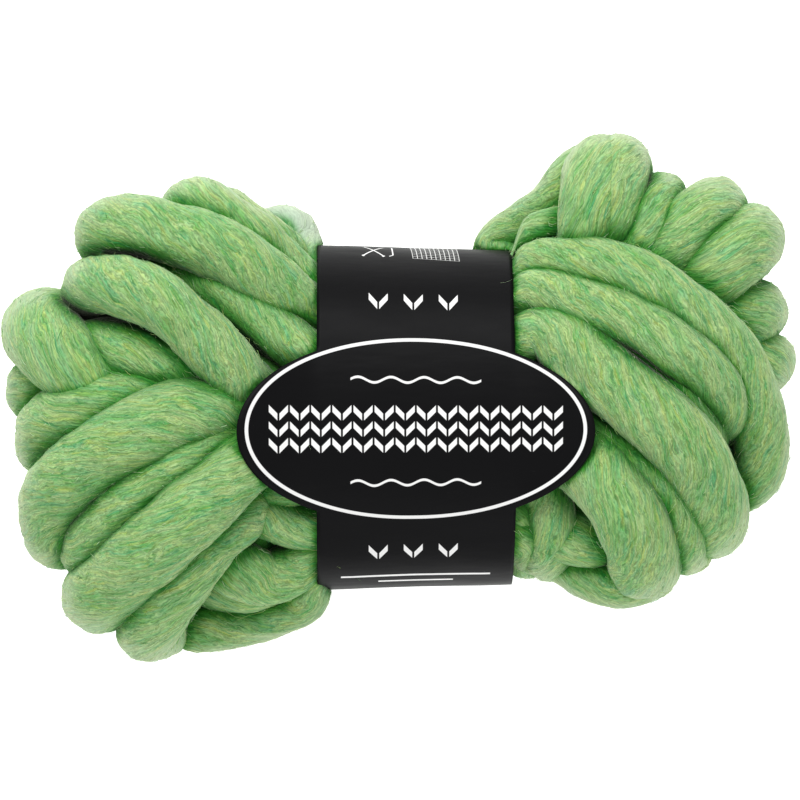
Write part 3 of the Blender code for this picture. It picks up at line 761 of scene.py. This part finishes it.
# %% [markdown]
# ## The band squeezes the yarn
#
# Under the paper the strands are flattened together, beside it they well up over its edge, and
# under the oval's wings they are pressed down. Below, the skein is flat where it lies. Cloth
# simulation would give the same at a great price, so the vertices are pressed by a rule: a point
# may stand no further out than the paper there, with more room the further it is from the edge.
# Three turns bulge over an edge of the paper instead, and keep their round form there.

# %% Press the strands
GAP = 0.15  # air between the paper and the yarn
WELL_UP = 1.3  # how steeply the yarn rises beside an edge of the paper
WELL_OUT = 22.0  # how far the yarn swells out sideways past the ring, a strand's length from its edge
SOFTNESS = 1.5  # length over which the pressing sets in
OVAL_REACH = 40.0  # how far from the oval its edge still limits the yarn
OVERHANG = 8.0  # how far inside the band's edge the middle of a turn that bulges over it may be
OVER_EDGE = ("tuft", "left_hem", "dark_arm")  # the names of those turns
TURNS = {"left_strands": LEFT_TURNS, "right_strands": RIGHT_TURNS}


def soft_min(values, limit, softness):
    """The smaller of two numbers, rounded off where they meet."""
    lower = np.minimum(values, limit)
    return lower - softness * np.log1p(np.exp(-np.abs(values - limit) / softness))


def wing_lift(x):
    """How far the yarn lifts the oval's wings off the ring, beyond the strip's two edges."""
    past = np.maximum(0.0, np.abs(x - BAND_MIDDLE.x) - BAND_WIDE / 2)
    return WING_RISE * (past / (OVAL_HALF_X - BAND_WIDE / 2)) ** WING_BEND


def front_height(x, y, inset):
    """Height of the band's front, inset from the paper's outside."""
    share = np.minimum(1.0, np.abs(y - BAND_MIDDLE.y) / (BAND_HALF_Y - inset))
    rise = (1.0 - share**BAND_ROUND) ** (1.0 / BAND_ROUND)
    return BAND_MIDDLE.z + (BAND_HALF_Z - inset) * rise + wing_lift(x)


def press(places, over_edge):
    """Squeeze an array of points, in millimetres, by the band and the surface below."""
    inset = PAPER + GAP
    x, y, z = places.T
    beside = np.abs(x - BAND_MIDDLE.x) - BAND_WIDE / 2
    shrink = 1.0 - BAND_TAPER * np.clip((x - BAND_MIDDLE.x) / (BAND_WIDE / 2), -1.5, 1.5)
    across, up = (y - BAND_MIDDLE.y) / shrink, z - BAND_MIDDLE.z
    out_y, out_z = np.abs(across) / (BAND_HALF_Y - inset), np.abs(up) / (BAND_HALF_Z - inset)
    out = np.maximum(1e-6, (out_y**BAND_ROUND + out_z**BAND_ROUND) ** (1 / BAND_ROUND))
    middle_size = (BAND_HALF_Y + BAND_HALF_Z) / 2
    # How far out a point may be, where 1 is the paper: more beside an edge, and most at the sides.
    past_edge = np.maximum(0.0, beside)
    sideways = np.clip(out_y / out, 0.0, 1.0) ** 4
    room = 1.0 + (WELL_UP * past_edge + WELL_OUT * sideways * np.sqrt(past_edge / WAIST_WIDE)) / middle_size
    keep = soft_min(out, room, SOFTNESS / middle_size) / out
    # A turn that bulges over an edge keeps its form and is only moved clear of the paper.
    keep = np.where(over_edge, 1.0, keep)
    clear = BAND_MIDDLE.x + np.sign(x - BAND_MIDDLE.x) * (BAND_WIDE / 2 + 2 * GAP)
    x = np.where(over_edge & (beside < 2 * GAP) & (out < 1.0 + 2 * GAP / middle_size), clear, x)
    y, z = BAND_MIDDLE.y + across * shrink * keep, BAND_MIDDLE.z + up * keep
    # The oval's wings limit the height, under them and less and less beside them.
    oval_x = (x - BAND_MIDDLE.x) / OVAL_HALF_X
    oval_y = (y - BAND_MIDDLE.y + OVAL_DROP) / OVAL_HALF_Y
    past = np.maximum(0.0, np.hypot(oval_x, oval_y) - 1.0) * OVAL_HALF_Y
    ceiling = front_height(x, y, inset) + WELL_UP * past
    near = (past < OVAL_REACH) & (z > BAND_MIDDLE.z)
    z = np.where(near, soft_min(z, ceiling, SOFTNESS), z)
    return np.stack([x, y, np.maximum(z, 0.0)], 1)


def read_points(mesh):
    """The vertices of a mesh as rows of an array."""
    places = np.empty(len(mesh.vertices) * 3)
    mesh.vertices.foreach_get("co", places)
    return places.reshape(-1, 3)


def read_values(mesh, name, kind="value", count=1):
    """A point attribute as an array."""
    values = np.empty(len(mesh.vertices) * count)
    mesh.attributes[name].data.foreach_get(kind, values)
    return values.reshape(-1, count) if count > 1 else values


def bulges_over(piece):
    """True for the points of the turns that bulge over the paper, where the strand has left the band."""
    if piece.name not in TURNS:
        return np.zeros(len(piece.data.vertices), bool)
    numbers = [i for i, turn in enumerate(TURNS[piece.name]) if turn.name in OVER_EDGE]
    turn = read_values(piece.data, "turn").round()
    centre_x = read_values(piece.data, "centre", "vector", 3)[:, 0] / MM
    outside = np.abs(centre_x - BAND_MIDDLE.x) > BAND_WIDE / 2 - OVERHANG
    return np.isin(turn, numbers) & outside


def press_piece(piece):
    """Press the vertices of a piece and print how far they moved."""
    before = read_points(piece.data)
    after = press(before / MM, bulges_over(piece)) * MM
    piece.data.vertices.foreach_set("co", after.ravel())
    piece.data.update()
    moved = np.linalg.norm(after - before, axis=1) / MM
    print(piece.name, "pressed by up to", round(float(moved.max()), 1), "mm")


for piece in (left_strands, right_strands, inner_yarn):
    press_piece(piece)

# %% [markdown]
# ## The pale tuft
#
# One turn beside the band's upper left corner ends in a pale tuft. It is the first turn of the left
# lobe, so its points are told by their turn number, and they fade to pale toward the outside and
# toward the top. A second material would show a hard border.

# %% The pale tuft
PALE_FROM = 58.0  # where along Y the tuft begins to turn pale, in millimetres
PALE_FADE = 11.0  # length over which it does
PALE_HEIGHT = 32.0  # height below which it keeps its colour
PALE_RISE = 16.0  # height over which it loses it
of_tuft = read_values(left_strands.data, "turn").round() == 0
_, out_y, up_z = read_points(left_strands.data).T / MM
paleness = np.clip((out_y - PALE_FROM) / PALE_FADE, 0.25, 1.0)
paleness *= np.clip((up_z - PALE_HEIGHT) / PALE_RISE, 0.1, 1.0)
store_values(left_strands.data, "pale", of_tuft * paleness)
print("pale points of the tuft:", int((of_tuft * paleness > 0.5).sum()))

# %% [markdown]
# ## The paper band
#
# The band is a strip of coated paper with an oval that is wider than the strip. It goes round the
# waist and is glued to itself at the back. A solid ring would do for the shape, but the print has
# to follow the paper, so the strip is a grid with a UV map in metres: u across it, v along it. Its
# rows lie closest where the oval's outline crosses them, and two long waves keep it from looking
# like sheet metal.

# %% Sheet of the band
RIPPLE = 0.5  # how far the paper stands off in places
OVERLAP = 14.0  # how far the glued ends lie over each other
FLARE = 1.6  # how far the right edge leans out at the front
FLARE_REACH = 60.0  # how far along the paper it does
BAND_COLUMNS = 48  # faces across the paper
OVAL_ROWS = 72  # rows of faces that cross the oval's wings
STRIP_ROWS = 90  # rows of faces from there to each end
RING_STEPS = 2880  # steps in which the ring's length is measured


def ring_point(angle, inset=0.0):
    """A point (y, z) of the band's section, an angle round from +Y, inset from the paper's outside."""
    reach = 2.0 / BAND_ROUND
    across, up = math.cos(angle), math.sin(angle)
    y = (BAND_HALF_Y - inset) * math.copysign(abs(across) ** reach, across)
    z = (BAND_HALF_Z - inset) * math.copysign(abs(up) ** reach, up)
    return BAND_MIDDLE.y + y, BAND_MIDDLE.z + z


def tapered(y, x):
    """The place along Y of a ring point at x, where the ring is a little narrower to the right."""
    return BAND_MIDDLE.y + (y - BAND_MIDDLE.y) * (1.0 - BAND_TAPER * (x - BAND_MIDDLE.x) / (BAND_WIDE / 2))


def paper_stations():
    """Distances along the paper from the oval's middle, close together where the oval is."""
    angles = [math.pi / 2 - math.tau * i / RING_STEPS for i in range(RING_STEPS + 1)]
    points = np.array([ring_point(angle) for angle in angles])
    walked = np.concatenate([[0.0], np.cumsum(np.linalg.norm(np.diff(points, axis=0), axis=1))])
    around = walked[-1]
    corner = OVAL_HALF_Y * math.sqrt(1.0 - (BAND_WIDE / 2 / OVAL_HALF_X) ** 2)
    end = around / 2 + OVERLAP / 2
    stations = np.concatenate([
        np.linspace(-end, -corner, STRIP_ROWS, endpoint=False),
        np.linspace(-corner, corner, OVAL_ROWS, endpoint=False),
        np.linspace(corner, end, STRIP_ROWS),
    ])
    turned = (stations - OVAL_DROP) % around
    y = np.interp(turned, walked, points[:, 0])
    z = np.interp(turned, walked, points[:, 1])
    return stations, y, z, around


def make_band(finish):
    """The strip with its oval, bent round the waist, rippled a little and lapped at the back."""
    stations, ring_y, ring_z, around = paper_stations()
    print("paper strip:", round(around + OVERLAP, 1), "mm long,", BAND_WIDE, "mm wide")
    places, prints = [], []
    for along, y, z in zip(stations, ring_y, ring_z):
        inside_oval = max(0.0, 1.0 - (along / OVAL_HALF_Y) ** 2)
        half = max(BAND_WIDE / 2, OVAL_HALF_X * math.sqrt(inside_oval))
        lean = FLARE * (math.exp(-((along + 10) / FLARE_REACH) ** 2) - 0.6)
        out = Vector((0.0, y - BAND_MIDDLE.y, z - BAND_MIDDLE.z)).normalized()
        lap = min(1.0, max(0.0, (along - around / 2 + OVERLAP) / (OVERLAP / 2))) * (PAPER + 0.1)
        for column in range(BAND_COLUMNS + 1):
            share = 2 * column / BAND_COLUMNS - 1
            x = half * share
            edge = lean * max(0.0, share) ** 3 if half <= BAND_WIDE / 2 else 0.0
            wave = math.sin(along / 17 + x / 23) * math.sin(along / 9 - x / 31 + 1.0)
            lift = RIPPLE * (0.5 + 0.5 * wave) * min(1.0, abs(share) * 1.5) + lap
            across = BAND_MIDDLE.x + x
            place = Vector((across + edge, tapered(y, across), z + float(wing_lift(across))))
            places.append((place + out * lift) * MM)
            prints.append((x * MM, along * MM))
    faces = []
    for row in range(len(stations) - 1):
        for column in range(BAND_COLUMNS):
            a = row * (BAND_COLUMNS + 1) + column
            b = a + BAND_COLUMNS + 1
            faces.append((a, a + 1, b + 1, b))
    mesh = bpy.data.meshes.new("paper_band")
    mesh.from_pydata(places, [], faces)
    layer = mesh.uv_layers.new(name="print")
    for loop in mesh.loops:
        layer.data[loop.index].uv = prints[loop.vertex_index]
    mesh.materials.append(finish)
    mesh.shade_smooth()
    band = add_object("paper_band", mesh)
    solid = band.modifiers.new("thickness", "SOLIDIFY")
    solid.thickness = PAPER * MM
    solid.offset = -1.0
    return band


# %% [markdown]
# ## Printed paper
#
# The paper is printed black with a soft sheen. White marks stand on it: a keyline round the oval,
# rows of knit stitches with a thread above and below, plain rules, and small signs of crossed
# needles, a hook and a gauge square. A picture would blur near by. Here each mark is a distance in
# millimetres that is turned into a mask, so every edge is sharp at any size.


# %% Marks as masks
def strip_mask(graph, value, half):
    """1 where a value is within half of zero."""
    return 1.0 - graph.step(graph.math("ABSOLUTE", value), half - 0.12, half + 0.12)


def line_mask(graph, u, v, start, end, half):
    """1 on a straight stroke between two points."""
    length = math.dist(start, end)
    dx, dy = (end[0] - start[0]) / length, (end[1] - start[1]) / length
    middle = ((start[0] + end[0]) / 2, (start[1] + end[1]) / 2)
    off_u, off_v = u - middle[0], v - middle[1]
    on = strip_mask(graph, off_u * dy - off_v * dx, half)
    return on * strip_mask(graph, off_u * dx + off_v * dy, length / 2)


def ellipse_line(graph, u, v, half_u, half_v, half_line):
    """1 on the outline of an ellipse round zero."""
    share_u, share_v = u / half_u, v / half_v
    size = graph.math("SQRT", share_u * share_u + share_v * share_v)
    slope_u, slope_v = share_u / half_u, share_v / half_v
    slope = graph.math("SQRT", slope_u * slope_u + slope_v * slope_v) / size
    return strip_mask(graph, (size - 1.0) / slope, half_line)


def stitch_row(graph, u, v, count, pitch, tall, half_line):
    """A row of knit stitches: two leaning strokes that meet at the foot, repeated along u."""
    inside = strip_mask(graph, u, count * pitch / 2)
    local = graph.math("PINGPONG", u + (count + 1) * pitch / 2, pitch / 2)
    lean = (local - pitch / 4) / (pitch / 4)
    level = v - lean * (tall / 3)
    leg = graph.math("ABSOLUTE", lean)
    fat = strip_mask(graph, level, half_line) * (1.0 - graph.step(leg, 0.74, 0.86))
    return fat * inside


# %% The printed marks, in millimetres from the middle of the oval
def oval_marks(graph, u, v):
    """The keyline, three rows of stitches and a thread above and below them."""
    marks = [ellipse_line(graph, u, v - 0.8, 67.2, 36.0, 0.7)]
    for row in (-6.4, 0.0, 6.4):
        marks.append(stitch_row(graph, u, v - row - 1.0, 14, 8.4, 6.2, 1.35))
    for level, reach in ((20.5, 26.0), (-20.5, 26.0)):
        wave = graph.math("SINE", u / 2.1) * 1.1
        marks.append(strip_mask(graph, v - level - wave, 0.5) * strip_mask(graph, u, reach))
    return marks


def strip_marks(graph, u, v):
    """Three stitches above and below the oval, and two rules near the lower edge of the front."""
    marks = []
    for level in (53.5, -51.5):
        for shift in (-14.0, 0.0, 14.0):
            marks.append(stitch_row(graph, u - shift + 1.0, v - level, 1, 8.4, 8.0, 1.6))
    for level, reach in ((-67.0, 30.0), (-72.5, 15.0)):
        marks.append(strip_mask(graph, v - level, 0.7) * strip_mask(graph, u, reach))
    return marks


Stroke = namedtuple("Stroke", "start end half")
SIGNS = (
    Stroke((-21.0, 80.8), (-13.0, 93.0), 0.3),  # two crossed needles
    Stroke((-13.0, 80.8), (-21.0, 93.0), 0.3),
    Stroke((-21.4, 80.4), (-20.8, 80.9), 0.6),  # and their heads
    Stroke((-12.6, 80.4), (-13.2, 80.9), 0.6),
    Stroke((-9.7, 93.0), (-9.1, 82.0), 0.25),  # a hook: its shaft and its tip
    Stroke((-9.1, 82.0), (-10.6, 80.8), 0.25),
)


def sign_marks(graph, u, v):
    """The needles, the hook and a gauge square that is printed a little askew."""
    marks = [line_mask(graph, u, v, *stroke) for stroke in SIGNS]
    grid_u = u - 8.2 + (v - 80.0) * 0.07
    grid_v = v - 88.2 + (u - 8.2) * 0.10
    cell = graph.math("PINGPONG", grid_u + 18.6, 0.93)
    cell_v = graph.math("PINGPONG", grid_v + 18.6, 0.93)
    lines = graph.math("MAXIMUM", cell < 0.14, cell_v < 0.10)
    marks.append(lines * 0.8 * strip_mask(graph, grid_u, 9.4) * strip_mask(graph, grid_v, 9.4))
    return marks


# %% Finish of the paper
def paper_finish():
    """Black coated paper with white ink, clouded and worn a little."""
    finish, graph, shader = new_material("printed black paper")
    place = graph.node("ShaderNodeUVMap", {"uv_map": "print"})
    u, v, _ = graph.parts(place * (1 / MM))
    marks = oval_marks(graph, u, v) + strip_marks(graph, u, v) + sign_marks(graph, u, v)
    ink = marks[0]
    for mark in marks[1:]:
        ink = graph.math("MAXIMUM", ink, mark)
    grain = graph.noise(place / (0.9 * MM), 3.0)
    cloud = graph.noise(place * (1 / (42 * MM), 1 / (13 * MM), 1.0), 3.0)
    scratch = graph.noise(place * (1 / (3.0 * MM), 1 / (0.35 * MM), 1.0) + 4.0, 1.0)
    worn = graph.step(scratch, 0.74, 0.80) * graph.step(cloud, 0.5, 0.7)
    black = graph.mix(worn * 0.5, (0.0045, 0.0045, 0.005), (0.05, 0.05, 0.05))
    colour = graph.mix(ink * (0.96 + (grain - 0.5) * 0.1), black, (0.86, 0.86, 0.85))
    gloss = 0.46 + (cloud - 0.5) * 0.25 + worn * 0.2
    relief = cloud * 0.8 + grain * 0.04
    bump = graph.node("ShaderNodeBump", inputs={"Strength": 0.5, "Distance": 0.001, "Height": relief})
    graph.fill(shader, {"Base Color": colour, "Roughness": gloss, "Normal": bump})
    graph.fill(shader, {"Specular IOR Level": 0.06})
    return finish


paper_band = make_band(paper_finish())
print("band triangles:", count_triangles(paper_band))

# %% [markdown]
# ## Crevices and rims
#
# Where two strands press together, shade is painted into the colour of the roving, so that the
# crevices are a deep, full green. Rays from each point of a strand tell how closed in it is. A point
# that lies inside a neighbour counts by how far its ray runs before it comes out, because a shallow
# groove is no deep crevice. At an outer rim the opposite is painted: pale rim light, where the
# brushed-up fibres would have light behind them. A ray straight down from beside a flank finds these
# rims, since it meets no more yarn. Both shares are stored on the mesh.


# %% One mesh of everything that blocks a ray
def joined_copy(name, pieces):
    """One object with the faces of several, as a target for rays."""
    graph = bpy.context.evaluated_depsgraph_get()
    places, faces, first = [], [], 0
    for piece in pieces:
        mesh = piece.evaluated_get(graph).to_mesh()
        places.append(read_points(mesh))
        corners = np.empty(len(mesh.loops), np.int32)
        mesh.loops.foreach_get("vertex_index", corners)
        sides = np.empty(len(mesh.polygons), np.int32)
        mesh.polygons.foreach_get("loop_total", sides)
        faces += [part.tolist() for part in np.split(corners + first, np.cumsum(sides)[:-1])]
        first += len(mesh.vertices)
        piece.evaluated_get(graph).to_mesh_clear()
    mesh = bpy.data.meshes.new(name)
    mesh.from_pydata(np.concatenate(places), [], faces)
    return add_object(name, mesh)


bpy.context.view_layer.update()
blockers = joined_copy("blockers", (left_strands, right_strands, inner_yarn, paper_band))

# %% How closed in each point is
RAYS = 7  # rays round the normal of each point
RAY_SPREAD = 1.1  # how far they lean from it, as a slope
SHALLOW = 5 * MM  # a buried point nearer than this to the open counts as partly open
BESIDE = 8 * MM  # how far beside a flank the ray starts that looks for yarn below it
RAY_DOWN = 0.2  # length of that ray in metres, past the floor from any height


def cast(graph, target, start, direction, reach):
    """Whether a ray meets the target. Other outputs of the node come from graph.also."""
    inputs = {"Target Geometry": target, "Source Position": start, "Ray Direction": direction}
    return graph.node("GeometryNodeRaycast", inputs={**inputs, "Ray Length": reach}, output="Is Hit")


def blur(graph, value, times):
    """A value evened out over neighbouring points."""
    inputs = {"Value": value, "Iterations": times}
    return graph.node("GeometryNodeBlurAttribute", {"data_type": "FLOAT"}, inputs)


def crevice_tree():
    """Two shares on each point: how closed in it is, and whether yarn lies below beside it."""
    tree = bpy.data.node_groups.new("crevices", "GeometryNodeTree")
    rows = (("Reach", "Float", 14 * MM), ("Blockers", "Object", None), ("Finish", "Material", None))
    add_inputs(tree, rows)
    graph = Graph(tree)
    surface = graph.node("NodeGroupInput")
    reach, blockers_in, finish = (graph.also(surface, row[0]) for row in rows)
    target = graph.node("GeometryNodeObjectInfo", inputs={"Object": blockers_in}, output="Geometry")
    place = graph.node("GeometryNodeInputPosition")
    normal = graph.node("GeometryNodeInputNormal")
    heading = named_vector(graph, "heading")
    sideways = graph.vector("CROSS_PRODUCT", normal, heading)
    start = place + normal * (0.6 * MM)
    closed = 0.0
    for i in range(RAYS):
        lean = math.tau * i / RAYS
        ray = normal + heading * (RAY_SPREAD * math.cos(lean)) + sideways * (RAY_SPREAD * math.sin(lean))
        hit = cast(graph, target, start, ray, reach)
        far = graph.also(hit, "Hit Distance")
        facing = graph.also(graph.vector("DOT_PRODUCT", ray, graph.also(hit, "Hit Normal")), "Value")
        buried = graph.step(facing, 0.0, 0.01)
        share = (1.0 - far / reach) * (1.0 - buried) + graph.step(far, 0.0, SHALLOW) * buried
        closed = closed + hit * share
    backed = cast(graph, target, place + normal * (BESIDE, BESIDE, 0.0), (0.0, 0.0, -1.0), RAY_DOWN)
    stored = store(graph, surface, "crevice", blur(graph, closed / RAYS, 1))
    stored = store(graph, stored, "backed", blur(graph, backed, 3))
    end_tree(graph, stored, finish)
    return tree


# %% How much pale rim light is painted at each point
def store_painted_rim_light(mesh, share):
    """Painted rim light on the rims of the winding: steep, open to the air and with no yarn below beside
    them.
    """
    upward = np.empty(len(mesh.vertices) * 3)
    mesh.vertex_normals.foreach_get("vector", upward)
    upward = upward.reshape(-1, 3)[:, 2]
    flank = np.clip(1.0 - np.maximum(upward, 0.0) / 0.85, 0.0, 1.0) * np.clip(1.0 + upward * 1.5, 0.3, 1.0)
    open_side = np.clip(1.0 - share / 0.3, 0.0, 1.0)
    rim = 1.0 - 0.85 * np.clip(read_values(mesh, "backed"), 0.0, 1.0)
    store_values(mesh, "frost", flank * open_side * rim)


def with_crevices(piece, tree):
    """The piece again, with its crevice shares and its painted rim light stored on its points."""
    name = piece.name
    piece.name = name + "_open"
    made = run_nodes(piece, tree, name, blockers=blockers, finish=roving)
    bpy.data.objects.remove(piece)
    share = read_values(made.data, "crevice")
    store_painted_rim_light(made.data, share)
    print(name, "points closed in by half or more:", round(100 * float((share > 0.5).mean())), "%")
    return made


crevices = crevice_tree()
left_strands = with_crevices(left_strands, crevices)
right_strands = with_crevices(right_strands, crevices)
inner_yarn = with_crevices(inner_yarn, crevices)

# %% [markdown]
# ## Loose fibres
#
# What makes roving look soft is the halo of loose fibres on its surface. Each is a fine spindle
# with three sides, laid along the heading of the fibres below with a little lift and a bend of
# its own. A node tree scatters them, and a ray from each point tells whether it is open to the
# air, because fibres inside the winding would cost as much as those that show. The same tree with
# other sizes makes the few long ones that stray over several strands.


# %% Finish of the loose fibres
def hair_finish():
    """Matte fibres, each in one of the roving's own greens."""
    finish, graph, shader = new_material("loose fibres")
    stops = ((0.0, (0.04, 0.20, 0.04)), (0.12, (0.08, 0.34, 0.15)), (0.26, (0.16, 0.42, 0.11)),
             (0.42, (0.32, 0.54, 0.18)), (0.60, (0.44, 0.56, 0.18)), (0.72, (0.48, 0.66, 0.32)),
             (0.92, (0.55, 0.74, 0.44)))
    colour = graph.node("ShaderNodeValToRGB", {"stops": stops}, {"Fac": graph.attribute("tone")})
    graph.fill(shader, {"Base Color": colour, "Roughness": 1.0, "Specular IOR Level": 0.04})
    return finish


loose_fibres = hair_finish()


# %% The tree that scatters fibres
def fuzz_tree():
    """Fine bent spindles on the open points of a piece, laid along the heading of its fibres."""
    tree = bpy.data.node_groups.new("loose fibres", "GeometryNodeTree")
    rows = (("Density", "Float", 27000.0), ("Length", "Float", 5 * MM), ("Thickness", "Float", 0.16 * MM),
            ("Lift", "Float", 0.34), ("Stray", "Float", 0.55), ("Bend", "Float", 1.4 * MM),
            ("Bend Grain", "Float", 2.4 * MM), ("Rings", "Int", 4), ("Seed", "Int", 1),
            ("Clear", "Float", 3 * MM), ("Blockers", "Object", None), ("Finish", "Material", None))
    add_inputs(tree, rows)
    graph = Graph(tree)
    surface = graph.node("NodeGroupInput")
    density, long, thick, lift, stray, bend, grain, rings, seed, clear, target_object, finish = (
        graph.also(surface, row[0]) for row in rows)
    points = graph.node(
        "GeometryNodeDistributePointsOnFaces", inputs={"Mesh": surface, "Density": density, "Seed": seed})
    normal = graph.also(points, "Normal")
    place = graph.node("GeometryNodeInputPosition")
    target = graph.node("GeometryNodeObjectInfo", inputs={"Object": target_object}, output="Geometry")
    hit = cast(graph, target, place + normal * (0.9 * MM), normal, clear)
    low = graph.parts(place)[2] < 2 * MM
    hidden = graph.node("FunctionNodeBooleanMath", {"operation": "OR"}, {0: hit, 1: low})
    open_points = graph.node("GeometryNodeDeleteGeometry", inputs={"Geometry": points, "Selection": hidden})

    def chance(number, low_end, high_end):
        """A random number for each fibre."""
        ends = {2: low_end, 3: high_end, "Seed": seed + number}
        return graph.node("FunctionNodeRandomValue", {"data_type": "FLOAT"}, ends, 1)

    heading = named_vector(graph, "heading")
    sideways = graph.vector("CROSS_PRODUCT", heading, normal)
    axis = heading + normal * (lift * chance(1, -0.3, 1.0)) + sideways * (stray * chance(2, -1.0, 1.0))
    turned = graph.node(
        "FunctionNodeAxesToRotation", {"primary_axis": "Z", "secondary_axis": "X"},
        {"Primary Axis": axis, "Secondary Axis": normal})
    toned = store(graph, open_points, "tone", chance(3, 0.0, 1.0))
    spindle = graph.node("GeometryNodeMeshUVSphere", inputs={"Segments": 3, "Rings": rings, "Radius": 0.5})
    size = graph.node("ShaderNodeCombineXYZ", inputs={0: thick, 1: thick, 2: long * chance(4, 0.5, 1.5)})
    hairs = graph.node(
        "GeometryNodeInstanceOnPoints",
        inputs={"Points": toned, "Instance": spindle, "Rotation": turned, "Scale": size})
    solid = graph.node("GeometryNodeRealizeInstances", inputs={"Geometry": hairs})
    sway = graph.noise(place / grain, 1.0, output="Color") - 0.5
    bent = graph.node("GeometryNodeSetPosition", inputs={"Geometry": solid, "Offset": sway * (bend * 2)})
    x, y, z = graph.parts(place)
    above = graph.node("ShaderNodeCombineXYZ", inputs={0: x, 1: y, 2: graph.math("MAXIMUM", z, 0.2 * MM)})
    raised = graph.node("GeometryNodeSetPosition", inputs={"Geometry": bent, "Position": above})
    end_tree(graph, raised, finish)
    return tree


# %% Short fibres all over and a few long ones
STRAY = {"density": 1400.0, "length": 26 * MM, "thickness": 0.11 * MM, "bend": 4.5 * MM,
         "bend_grain": 12 * MM, "rings": 12, "lift": 0.10}
FUZZ = (
    (left_strands, "left_fibres_1", 1, {}),
    (left_strands, "left_fibres_2", 2, {}),
    (right_strands, "right_fibres_3", 3, {}),
    (right_strands, "right_fibres_4", 4, {}),
    (left_strands, "left_stray_fibres", 5, STRAY),
    (right_strands, "right_stray_fibres", 6, STRAY),
)
fuzz = fuzz_tree()
loose_pieces = []
for base, name, seed, look in FUZZ:
    piece = run_nodes(base, fuzz, name, seed=seed, blockers=blockers, finish=loose_fibres, **look)
    loose_pieces.append(piece)
    print(name, count_triangles(piece), "triangles")
bpy.data.objects.remove(blockers)

# %% [markdown]
# ## Hand over
# Every piece rides on the only body, and the solid that it replaces is hidden. The sizes of the imported
# part and of the dressed one are written side by side.

# %% Ride and replace
for piece in (left_strands, right_strands, inner_yarn, *loose_pieces):
    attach(piece, "root")
    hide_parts("yarn")
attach(paper_band, "root")
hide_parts("band")
